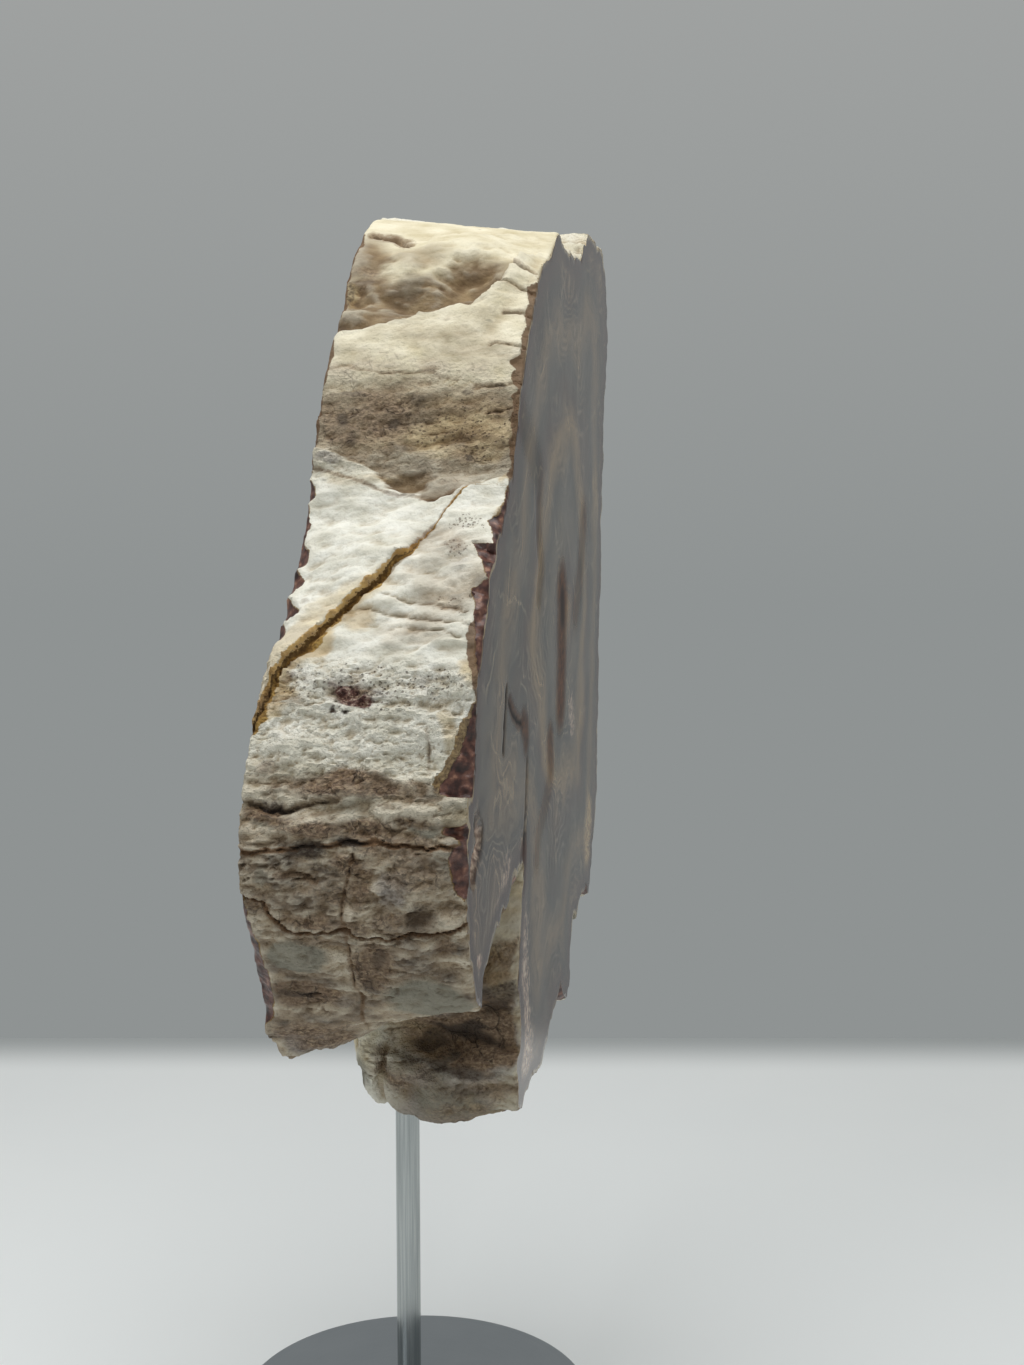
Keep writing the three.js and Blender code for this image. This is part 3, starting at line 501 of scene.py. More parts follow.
OCHRES = [
    (133.0, 0.25, 4.4, 0.5, 0.42), (112.6, 0.6, 2.2, 0.12, 0.6), (105.5, 0.95, 2.6, 0.06, 0.5),
    (124.6, 0.02, 1.4, 0.05, 0.6), (108.4, 0.03, 4.2, 0.07, 0.55), (151.0, 0.97, 1.3, 0.05, 0.6),
    (101.4, 0.1, 3.4, 0.045, 0.5), (108.6, 0.79, 1.4, 0.09, 0.4), (93.0, 0.05, 2.2, 0.1, 0.3),
    (128.0, 0.0, 1.6, 0.03, 0.6), (128.0, 0.75, 1.0, 0.25, 0.35),
]
SAGES = [
    (91.4, 0.17, 1.5, 0.1, 0.8), (93.4, 0.07, 2.0, 0.08, 0.6), (76.2, 0.79, 3.2, 0.17, 0.95),
    (71.6, 0.22, 3.6, 0.28, 1.0), (147.9, 0.91, 1.8, 0.08, 0.35), (91.6, 0.86, 1.0, 0.1, 0.6),
    (147.1, 0.23, 0.4, 0.03, 0.6), (152.2, 0.66, 1.8, 0.12, 0.45), (86.0, 0.92, 2.0, 0.08, 0.6),
    (93.2, 0.5, 1.2, 0.1, 0.5), (84.4, 0.6, 1.6, 0.06, 0.5),
]
LAVENDERS = [
    (130.4, 0.9, 1.2, 0.12, 0.6), (64.4, 0.84, 3.6, 0.2, 0.8), (84.6, 0.34, 2.6, 0.08, 0.6),
    (119.2, 0.2, 1.2, 0.14, 0.3), (86.2, 0.32, 2.0, 0.12, 0.5), (70.0, 0.6, 1.2, 0.1, 0.5),
    (104.9, 0.5, 1.6, 0.2, 0.35),
]
PORES = [
    (122.9, 0.16, 1.1, 0.11, 0.8), (120.4, 0.19, 0.8, 0.1, 0.85), (115.4, 0.17, 0.8, 0.12, 0.5),
    (114.3, 0.18, 0.5, 0.1, 0.5), (105.9, 0.5, 2.4, 0.4, 0.3), (106.4, 0.18, 1.8, 0.18, 0.35),
    (130.6, 0.18, 1.4, 0.14, 0.3), (134.4, 0.3, 4.0, 0.4, 0.3), (106.4, 0.86, 1.4, 0.08, 0.4),
]
RAWS = [
    (105.4, 0.6, 1.0, 0.07, 1.0), (104.4, 0.54, 0.8, 0.09, 0.9), (105.9, 0.64, 0.5, 0.05, 0.5),
    (105.0, 0.55, 1.6, 0.18, 0.2), (106.6, 0.9, 0.8, 0.04, 0.4),
]
AGES = [
    (118.0, 0.18, 7.0, 0.34, 0.62), (112.2, 0.34, 2.4, 0.36, 0.44), (95.4, 0.4, 2.0, 0.8, 0.75),
    (143.0, 0.5, 5.0, 1.0, 0.3),
]
AGE_BY_HEIGHT = [
    [62, 1.0], [90, 1.0], [92, 0.75], [93.2, 0.5], [94.4, 0.55], [96.5, 0.25], [99, 0.04], [103, 0.0],
    [104, 0.06], [107.5, 0.04], [110, 0.0], [126, 0.0], [130, 0.35], [139, 0.35], [142, 0.1], [149, 0.25],
    [156, 0.0],
]
WHITE_BY_HEIGHT = [
    [96, 0.5], [99, 0.9], [104, 1.0], [110, 1.0], [126, 1.0], [130, 0.6], [140, 0.15], [160, 0.0],
]

# Patches on the rest of the rim as (place, half length, v, half width in v, strength)
RIM_STAINS = [
    ((-14.0, 67.4), 9.0, 0.4, 0.8, 0.8), ((-1.0, 66.0), 5.0, 0.35, 0.6, 1.0),
    ((0.4, 58.0), 5.6, 0.3, 0.5, 1.0), ((3.0, 49.6), 4.0, 0.36, 0.4, 0.55),
]
RIM_DARKS = [
    ((0.5, 61.4), 1.7, 0.12, 0.2, 0.6), ((0.5, 58.2), 1.6, 0.3, 0.3, 0.7),
    ((0.5, 61.0), 1.0, 0.2, 0.22, 0.5), ((-0.6, 65.4), 1.8, 0.36, 0.3, 0.55),
    ((0.2, 54.4), 1.1, 0.34, 0.4, 0.6), ((0.4, 56.6), 1.2, 0.5, 0.16, 0.6),
    ((1.4, 52.2), 0.7, 0.2, 0.2, 0.5),
]
RIM_PALES = [
    ((0.6, 71.6), 7.0, 0.04, 0.36, 1.0), ((0.3, 59.0), 8.0, 0.0, 0.06, 0.4),
    ((2.0, 54.6), 5.0, 0.88, 0.14, 0.5), ((-1.0, 62.0), 9.0, 0.0, 0.05, 0.5),
    ((42.0, 161.6), 26.0, 0.5, 0.9, 1.0),
]
RIM_WASHES = [
    ((-8.0, 68.0), 12.0, 0.4, 0.9, 1.0), ((-1.0, 62.0), 14.0, 0.3, 0.7, 0.8),
    ((2.5, 50.4), 6.0, 0.4, 0.5, 0.8),
]
RIM_OCHRES = [
    ((2.0, 54.6), 5.0, 0.97, 0.08, 0.5), ((0.0, 60.0), 12.0, 0.0, 0.04, 0.3),
    ((0.6, 65.6), 2.2, 0.12, 0.24, 0.2),
]
RIM_SAGES = [
    ((2.0, 52.6), 4.0, 0.86, 0.12, 0.7), ((8.0, 48.8), 4.0, 0.2, 0.4, 0.6),
    ((-5.0, 68.4), 3.0, 0.06, 0.12, 0.8),
]
RIM_LAVENDERS = [
    ((0.6, 70.0), 8.0, 0.04, 0.24, 0.4), ((0.2, 58.0), 9.0, 0.3, 0.7, 0.6),
    ((0.2, 52.4), 1.6, 0.4, 0.4, 0.6), ((2.0, 50.4), 4.0, 0.4, 0.4, 0.7),
]


def terraces(value, steps):
    """Value between whole steps, flat on each and steep between them."""
    scaled = value * steps
    whole = np.floor(scaled)
    return (whole + smoothstep(0.62, 1.0, scaled - whole)) / steps


def smoothed(values, turns):
    """Values averaged again and again with their neighbours round the rim and across it."""
    for _ in range(turns):
        values = (np.roll(values, 1, axis=0) + 2 * values + np.roll(values, -1, axis=0)) / 4
        padded = np.pad(values, ((0, 0), (1, 1)), mode="edge")
        values = (padded[:, :-2] + 2 * values + padded[:, 2:]) / 4
    return values


# The rim as a net of rows and columns, with its relief and its colours

def rim_rows():
    rows = []
    first_point = 0
    for stretch, points in OUTLINE.items():
        per_point = ROWS_PER_POINT[stretch]
        rows.extend(first_point + np.arange(len(points) * per_point) / per_point)
        first_point += len(points)
    return np.array(rows)


def share_of_near_side(rows, last, fall_from, fall_to):
    """1 on the near side and 0 on the rest of the rim, falling past the near side's last points."""
    falling = 1 - smoothstep(last + fall_from, last + fall_to, rows)
    rising = smoothstep(point_count - 1, point_count, rows)
    return np.where(rows < last + fall_to + 1, falling, rising)


def unfold(places, plane):
    """Eases the rows apart where steep relief would fold the net over itself."""
    plain_step = np.roll(plane, -1, axis=0) - plane
    for _ in range(60):
        step = np.roll(places, -1, axis=0) - places
        folded = (step * plain_step).sum(axis=-1) < 0.2 * (plain_step**2).sum(axis=-1)
        if not folded.any():
            break
        for _ in range(2):
            folded = folded | np.roll(folded, 1, axis=0) | np.roll(folded, -1, axis=0)
        eased = (np.roll(places, 1, axis=0) + 2 * places + np.roll(places, -1, axis=0)) / 4
        places = np.where(folded[..., None], eased, places)
    return places


class Rim:
    """The rim's net, with the places and the wandering noises that its relief and its colours share.

    near is the near side's share of each place. chart is the share of the near side's patches of colour,
    which go on down to the tip of the lobe.
    """

    def __init__(self):
        rows = rim_rows()
        columns = np.concatenate([EDGE_COLUMNS, MIDDLE_COLUMNS, 1 - np.array(EDGE_COLUMNS[::-1])])
        self.plane = rim_plane(rows, columns)
        self.normals = rim_normals(rows, columns)
        self.z = self.plane[..., 1]
        self.v = columns + np.zeros_like(self.z)
        self.arc = np.interp(rows, arc_rows, arc_table)[:, None] + np.zeros_like(self.z)
        near_points = len(OUTLINE["near_side"])
        self.near = share_of_near_side(rows, near_points, 1, 3)[:, None] + np.zeros_like(self.z)
        self.chart = share_of_near_side(rows, near_points + len(OUTLINE["lobe"]), -0.8, 0.4)[:, None]
        self.solid = np.stack([self.plane[..., 0], THICKNESS * self.v, self.z], axis=-1)

        self.wander = self.noise([4.5, 9, 4.5], 4, 1)
        self.fine_wander = self.noise([1.1, 1.8, 1.1], 3, 2)
        self.swerve = self.noise([3, 3, 3], 3, 15)
        self.patch_z = self.z + 0.55 * self.wander + 0.2 * self.fine_wander
        self.patch_v = self.v + 0.03 * self.noise([5, 5, 5], 4, 3) + 0.01 * self.fine_wander
        self.line_z = self.z + 0.15 * self.wander + 0.3 * self.swerve + 0.16 * self.fine_wander
        self.chip_z = self.z + 0.3 * self.wander + 0.1 * self.fine_wander
        self.chip_v = self.v + 0.006 * self.swerve + 0.005 * self.fine_wander
        self.make_chips()
        self.make_relief()

    def noise(self, grain, octaves, seed, falling=1.0):
        return noise_at(self.solid, grain, octaves, seed, falling)

    def blend(self, near_values, rest_values):
        return self.near * near_values + (1 - self.near) * rest_values

    def near_patches(self, items):
        return patches(near_gap, self.patch_z, self.patch_v, items)

    def rest_patches(self, items):
        return patches(rest_gap, self.arc + 1.6 * self.wander, self.patch_v, items)

    def distance_to(self, corners):
        """Distance in millimetres to a line of corners [v, z]."""
        places = np.stack([THICKNESS * self.v, self.line_z], axis=-1)
        return line_distance(places, np.array(corners) * (THICKNESS, 1))

    def make_chips(self):
        """Depth of the breaks along both edges, and how far each place lies inside them."""
        ragged = self.chip_z, self.chip_v
        near_chips = deepest(chip(*ragged, item) for item in NEAR_CHIPS)
        rest_chips = deepest(rim_chip(self.arc + 0.3 * self.wander, self.chip_v, item) for item in RIM_CHIPS)
        self.chips = self.blend(near_chips, rest_chips)
        self.flakes = self.near * deepest(chip(*ragged, item) for item in NEAR_FLAKES)
        inside_chips = deepest(inside_chip(*ragged, item) for item in NEAR_CHIPS)
        inside_flakes = deepest(inside_chip(*ragged, item) for item in NEAR_FLAKES)
        self.inside_chips = self.blend(inside_chips, 2 * (rest_chips - 0.15))
        self.inside_flakes = self.near * inside_flakes - (1 - self.near)

    def make_relief(self):
        near_relief = mounds(near_gap, self.patch_z, self.patch_v, NEAR_MOUNDS)
        near_relief = near_relief + sum(ledge(self.line_z, self.v, item) for item in NEAR_LEDGES)
        swell = 1 + 0.5 * self.wander
        near_relief = near_relief + sum(groove(self.line_z, self.v, swell, item) for item in NEAR_GROOVES)
        rest_relief = bark(self.arc, self.v) + mounds(rest_gap, self.arc, self.patch_v, RIM_MOUNDS)
        relief = self.blend(near_relief, rest_relief) - self.chips - self.flakes
        edge_gap = np.minimum(self.v, 1 - self.v) * THICKNESS
        worn_edge = 0.22 + 0.18 * self.wander
        rounding = worn_edge * (1 - np.sqrt(1 - (1 - np.clip(edge_gap / 0.6, 0, 1)) ** 2))
        self.relief = relief + self.fine_relief() - rounding

    def fine_relief(self):
        """Roughness too fine for the solid: grain, crumbs, flakes, fissures, fine lines and shards."""
        grain = self.noise([1.0, 12, 1.0], 4, 4)
        cell = cells_at(self.solid, [1.1, 1.6, 1.0], 5)
        crumbs = 0.3 * (0.42 - cell) + 0.5 * self.noise([2.0, 3.0, 1.6], 4, 12, falling=0.35)
        flakes = terraces(self.noise([4, 8, 2.8], 5, 6), 6)
        cleft = np.abs(self.noise([5, 11, 3.2], 4, 13) + 0.12 * self.fine_wander)
        gate = smoothstep(-0.1, 0.35, self.noise([9, 14, 7], 2, 14))
        fissures = (1 - smoothstep(0.02, 0.1, cleft)) * gate
        self.fissures = self.blend(along(FISSURES_BY_HEIGHT, self.z), REST_FISSURES) * fissures
        fine = self.blend(along(GRAIN_BY_HEIGHT, self.z), REST_GRAIN) * grain
        fine = fine + self.blend(along(CRUMBS_BY_HEIGHT, self.z), REST_CRUMBS) * crumbs
        fine = fine + self.blend(along(FLAKE_BY_HEIGHT, self.z), REST_FLAKES) * flakes
        fine = fine - 0.45 * self.fissures - self.near * self.line_depth()
        chipped = smoothstep(0.04, 0.12, self.chips)
        shards = 0.35 * (0.42 - cell) + 0.12 * self.noise([1.6, 1.6, 1.6], 2, 8)
        return fine * (1 - 0.75 * chipped) + chipped * shards

    def line_depth(self):
        """Depth of the fine lines, and the looks of the nearest line at each place."""
        total = np.zeros_like(self.z)
        self.line_gap = np.full_like(self.z, 9.0)
        self.line_dark, self.line_rust = np.zeros_like(self.z), np.zeros_like(self.z)
        for line, half_width, depth, dark, rust in FINE_LINES:
            gap = self.distance_to(line) / half_width
            total = total + depth * bell(gap / 1.3)
            nearer = gap < self.line_gap
            self.line_gap = np.where(nearer, gap, self.line_gap)
            self.line_dark = np.where(nearer, dark * (1 + 0.9 * self.swerve), self.line_dark)
            self.line_rust = np.where(nearer, rust, self.line_rust)
        return total

    def crack_halo(self, from_crack):
        """Ochre stain on both sides of the open crack."""
        upper_reach = 0.5 + 0.8 * self.wander + 2.2 * smoothstep(0.6, 0.95, self.v)
        upper = band(from_crack, 0, upper_reach, 0.8)
        lower = band(from_crack, -1.4 - 2.6 * self.wander, 0, 0.8)
        return smoothstep(0.4, 0.62, self.v) * np.maximum(0.5 * upper, 0.7 * lower)

    def near_colours(self, from_crack):
        over_white = self.line_z + 0.4 * self.fine_wander - along(WHITE_EDGE, self.v)
        tan_foot = smoothstep(-0.1, 0.25, over_white) * (1 - smoothstep(4.0, 9.0, over_white))
        plate_top = (1 - smoothstep(-0.3, 0.1, over_white)) * smoothstep(121, 124, self.z)
        # The foot of the hollow, just over the cream block's edge, is washed brown: partly the crust's brown
        # and partly painted shade
        over_cream = self.line_z - along(CREAM_EDGE, self.v)
        hollow_foot = smoothstep(-0.5, 0.0, over_cream) * (1 - smoothstep(1.5, 4.0, over_cream))
        hollow_foot = hollow_foot * smoothstep(0.2, 0.34, self.v)
        foot_wash = np.maximum(hollow_foot, 0.65 * tan_foot)
        clean = 1 - 0.8 * plate_top
        return {
            "age": np.maximum(along(AGE_BY_HEIGHT, self.z), self.near_patches(AGES)),
            "stain": np.maximum(self.near_patches(STAINS), 0.15 * tan_foot) * clean,
            "ochre": np.maximum(self.near_patches(OCHRES), self.crack_halo(from_crack)),
            "wash": np.maximum(self.near_patches(WASHES), foot_wash) * clean,
            "raw": self.near_patches(RAWS),
            "sage": self.near_patches(SAGES),
            "lavender": self.near_patches(LAVENDERS),
            "dark": self.near_patches(DARKS),
            "white": along(WHITE_BY_HEIGHT, self.z),
        }

    def rest_colours(self, pale):
        blotches = self.noise([7, 20, 7], 4, 9)
        ochre = np.clip(0.55 * self.noise([9, 14, 9], 3, 10) - 0.1, 0, 0.7)
        sage = np.clip(0.8 * self.noise([8, 9, 8], 3, 11) - 0.1, 0, 0.8)
        stain = np.maximum(0.3 + 0.5 * blotches, self.rest_patches(RIM_STAINS))
        low_bark = 0.6 * smoothstep(0.55, 1.1, -bark(self.arc, self.v) - 0.5)
        return {
            "age": np.clip(0.45 + 0.7 * blotches - pale, 0, 1),
            "stain": np.clip(stain - pale, 0, 1),
            "ochre": np.maximum(ochre, self.rest_patches(RIM_OCHRES)),
            "wash": np.clip(self.rest_patches(RIM_WASHES) - pale, 0, 1),
            "raw": np.zeros_like(self.z),
            "sage": np.maximum(sage, self.rest_patches(RIM_SAGES)),
            "lavender": np.maximum(0.15, self.rest_patches(RIM_LAVENDERS)),
            "dark": np.maximum(low_bark, self.rest_patches(RIM_DARKS)),
            "white": np.clip(0.5 - blotches, 0, 1),
        }

    def colours(self):
        """What the crust's material reads at each place, by attribute."""
        above_crack = np.sign(self.line_z - along(CRACK, self.v))
        from_crack = self.distance_to(CRACK) * above_crack
        pale = self.rest_patches(RIM_PALES)
        near_colours, rest_colours = self.near_colours(from_crack), self.rest_colours(pale)
        mixed = {}
        for name in near_colours:
            mixed[name] = self.chart * near_colours[name] + (1 - self.chart) * rest_colours[name]
        opened = smoothstep(0.36, 0.62, self.v)
        crack_width = (0.2 + 0.8 * opened) * np.clip(1 + 1.2 * self.swerve + 0.8 * self.wander, 0.6, 1.5)
        # sunk is how far each place lies below its smoothed surroundings: the crust is painted darker where
        # it is sunk, as painted shade, and paler where it stands proud, as painted light
        sunk = smoothed(self.relief, 10) - self.relief
        calm_band = 1 - 0.8 * self.near * band(self.z, 130, 139, 3)
        rest_rough = 0.9 - 0.5 * np.minimum(pale, 1)
        return mixed | {
            "rust": np.zeros_like(self.z),
            "chip": np.clip(self.inside_chips, -1, 3),
            "flake": np.clip(self.inside_flakes, -1, 3),
            "border": self.near * (0.12 + 0.08 * self.wander + 0.7 * band(self.z, 95, 103, 2)),
            "crack": np.clip(from_crack / crack_width, -5, 5),
            "near": self.near,
            "line": np.clip(self.line_gap, 0, 4),
            "line_dark": self.near * self.line_dark,
            "line_rust": self.near * self.line_rust,
            "rough": self.blend(along(ROUGH_BY_HEIGHT, self.z), rest_rough),
            "pore": self.chart * self.near_patches(PORES),
            "fissure": self.fissures,
            "hollow": np.clip(3.5 * sunk, 0, 1),
            "proud": np.clip(-3.5 * sunk, 0, 1) * calm_band,
        }

    def places(self):
        """Places in drawing millimetres, with the relief."""
        raised = unfold(self.plane + self.normals * self.relief[..., None], self.plane)
        return np.stack([raised[..., 0], THICKNESS * self.v, raised[..., 1]], axis=-1)


# The slice's two cut faces

# The heart that the growth rings go round, as x and z
HEART = np.array([34.0, 108.0])
RING_COUNT = 34

# Cracks, stains and a pit of the cut faces as (corners [x, z], half width, depth, colour, strength)
CUT_MARKS = [
    ([[-9.6, 103.7], [-10.6, 100.4], [-11.7, 96.5]], 0.4, 0.15, "dark", 0.9),
    ([[-7.9, 101.9], [-5.6, 100.2], [-2.6, 98.9], [0.2, 98.2]], 0.55, 0.2, "dark", 0.75),
    ([[-7.9, 101.9], [-5.6, 100.2], [-2.6, 98.9], [1.4, 97.9]], 1.0, 0, "rust", 0.7),
    ([[1.4, 98.0], [3.0, 97.0], [3.2, 95.7]], 2.0, 0, "rust", 0.75),
    ([[30.8, 111.2], [31.2, 108.6]], 2.4, 0, "dark", 0.6),
    ([[30.4, 112.4], [31.4, 110.5], [30.6, 106.4], [30.6, 102.9], [29.6, 96.7]], 3.6, 0, "rust", 0.85),
    ([[30.6, 104.0], [30.2, 102.4]], 2.2, 0, "dark", 0.3),
    ([[50.0, 121.0], [48.7, 117.6], [46.5, 112.2], [43.0, 108.6]], 3.2, 0, "rust", 0.4),
    ([[61.4, 126.7], [62.9, 120.9]], 3.0, 0, "ochre", 0.4),
    ([[12.1, 124.9], [12.1, 121.1], [14.1, 116.1], [12.2, 113.0]], 1.8, 0.1, "dark", 0.3),
    ([[1.3, 134.8], [6.5, 131.9], [12.1, 128.4]], 3.4, 0, "dark", 0.25),
    ([[38.6, 95.3], [39.9, 92.4]], 2.2, 0, "white", 0.5),
    ([[-27.0, 90.6], [-24.9, 89.6], [-25.6, 88.3], [-28.5, 87.1], [-29.2, 85.5]], 0.8, 0.9, "white", 1.0),
    ([[-27.0, 91.0], [-25.6, 89.6]], 0.9, 1.1, "dark", 1.0),
    ([[4.0, 93.2], [3.0, 87.0], [2.2, 83.8], [1.3, 80.3]], 0.7, 0.1, "dark", 0.55),
    ([[2.2, 83.8], [1.3, 79.8]], 1.0, 0.15, "dark", 0.8),
    ([[1.5, 82.0], [0.4, 78.4]], 1.8, 0, "rust", 0.8),
    ([[22.2, 88.1], [17.0, 84.7], [11.8, 81.8], [10.8, 78.9]], 2.2, 0, "rust", 0.35),
    ([[21.0, 93.0], [21.6, 89.2]], 2.4, 0, "rust", 0.7),
    ([[56.4, 75.1], [58.4, 71.5], [55.8, 70.6]], 4.0, 0, "ochre", 0.7),
    ([[-8.9, 80.6], [-12.6, 77.4], [-15.1, 74.7]], 3.4, 0, "white", 0.5),
    ([[-26.5, 75.6], [-22.8, 74.0]], 0.7, 0, "white", 0.9),
    ([[-24.9, 72.5], [-25.4, 70.6]], 2.4, 0, "white", 0.6),
    ([[0.0, 71.3], [1.4, 62.9], [4.4, 53.7]], 4.2, 0, "white", 0.55),
]


def inside_outline(places, loop):
    """Which places lie inside a closed loop, by counting the edges that a ray crosses."""
    x, z = places[:, :1], places[:, 1:]
    start, end = loop, np.roll(loop, -1, axis=0)
    spans = (start[:, 1] > z) != (end[:, 1] > z)
    rise = np.where(end[:, 1] == start[:, 1], 1e-9, end[:, 1] - start[:, 1])
    crossing = start[:, 0] + (z - start[:, 1]) / rise * (end[:, 0] - start[:, 0])
    return (spans & (x < crossing)).sum(axis=1) % 2 == 1


def edge_distance(places, loop):
    """Distance from each place to the nearest edge of a closed loop."""
    return line_distance(places, np.vstack([loop, loop[:1]]))


def mark_points(corners, gap=0.45):
    """Points along a thin mark, so that the mesh has corners right on it."""
    points = []
    for start, end in zip(corners, corners[1:]):
        count = int(np.linalg.norm(end - start) / gap) + 1
        points += [start + (end - start) * k / count for k in range(count)]
    return points + [corners[-1]]


def make_cut_face(loop, spacing):
    """Triangles over the inside of a loop: places, with the loop's own first, and index triples."""
    pitted = [np.array(corners) for corners, _, depth, _, _ in CUT_MARKS if depth > 0]
    thin = [point for corners in pitted for point in mark_points(corners)]
    low, high = loop.min(axis=0), loop.max(axis=0)
    lines = np.arange(low[1], high[1], spacing * math.sqrt(3) / 2)
    across = np.arange(low[0], high[0], spacing)
    grid = np.array([(x + (k % 2) * spacing / 2, z) for k, z in enumerate(lines) for x in across])
    for corners in pitted:
        grid = grid[line_distance(grid, corners) > 0.4]
    grid = np.concatenate([grid, thin])
    grid = grid[inside_outline(grid, loop)]
    grid = grid[edge_distance(grid, loop) > 0.5 * spacing]
    places = np.concatenate([loop, grid])
    ring = list(range(len(loop)))
    edges = list(zip(ring, ring[1:] + ring[:1]))
    made = geometry.delaunay_2d_cdt([Vector(place) for place in places], edges, [ring], 1, 1e-6)
    came_from = [origins[0] for origins in made[3]]
    triangles = [[came_from[corner] for corner in triangle] for triangle in made[2]]
    return places, triangles


def growth(places, loop):
    """How far out each place is, from 0 at the heart to 1 at the plain outline."""
    to_rim = edge_distance(places, loop)
    from_heart = np.linalg.norm(places - HEART, axis=1)
    return from_heart / (from_heart + to_rim)


def marks_of(places):
    """Depth of the cracks and pits of a cut face, and how strong each colour of mark is."""
    deepest_pit = np.zeros(len(places))
    colours = {name: np.zeros(len(places)) for name in ("dark", "rust", "ochre", "white")}
    for corners, half_width, depth, name, strength in CUT_MARKS:
        gap = line_distance(places, np.array(corners)) / half_width
        deepest_pit = np.maximum(deepest_pit, depth * bell(gap / 1.6))
        colours[name] = np.maximum(colours[name], strength * (1 - smoothstep(0.3, 1.7, gap)))
    return deepest_pit, colours


def make_slice():
    net = Rim()
    rim, colours = net.places(), net.colours()
    row_count, column_count = rim.shape[:2]
    used = row_count * column_count
    vertices = [rim.reshape(-1, 3)]
    numbers = np.arange(used).reshape(row_count, column_count)
    following = np.roll(numbers, -1, axis=0)
    quads = np.stack([numbers[:, :-1], numbers[:, 1:], following[:, 1:], following[:, :-1]], axis=-1)
    faces = quads.reshape(-1, 4).tolist()
    kinds = [0] * len(faces)
    attributes = {name: [values.ravel()] for name, values in colours.items()}
    attributes["ring"] = [np.ones(used)]
    attributes["rind"] = [np.zeros(used)]
    for kind, column, spacing, inward in ((1, 0, FACE_GRID, 1), (2, column_count - 1, BACK_GRID, -1)):
        loop = rim[:, column][:, [0, 2]]
        places, triangles = make_cut_face(loop, spacing)
        inner = places[row_count:]
        depth, marks = marks_of(inner)
        plain = rim_plane(rim_rows()[::4], [kind - 1])[:, 0]
        for name in colours:
            attributes[name].append(marks.get(name, np.zeros(len(inner))))
        attributes["ring"].append(growth(inner, plain))
        attributes["rind"].append(edge_distance(inner, loop))
        y = rim[0, column, 1] + inward * depth
        vertices.append(np.stack([inner[:, 0], y, inner[:, 1]], axis=-1))
        index = np.concatenate([numbers[:, column], used + np.arange(len(inner))])
        used += len(inner)
        for triangle in triangles:
            corners = index[triangle].tolist()
            faces.append(corners if kind == 1 else corners[::-1])
            kinds.append(kind)
    placed = (np.concatenate(vertices) + [SLICE_X, FACE_Y, SLICE_Z]) * MM
    mesh = bpy.data.meshes.new("petrified_wood")
    mesh.from_pydata(placed.tolist(), [], faces)
    mesh.polygons.foreach_set("material_index", kinds)
    for name, parts in attributes.items():
        layer = mesh.attributes.new(name, "FLOAT", "POINT")
        layer.data.foreach_set("value", np.concatenate(parts).astype(np.float32))
    mesh.validate()
    mesh.shade_smooth()
    mesh.set_sharp_from_angle(angle=math.radians(STONE_CREASE))
    for look in (crust_look(), polished_look(), sawn_look()):
        mesh.materials.append(look)
    return link("petrified_wood", mesh)


# Node trees

def srgb(red, green, blue):
    """A colour written as it is seen, 0 to 255, for a node's socket."""
    levels = [c / 255 for c in (red, green, blue)]
    return [c / 12.92 if c <= 0.04045 else ((c + 0.055) / 1.055) ** 2.4 for c in levels] + [1.0]


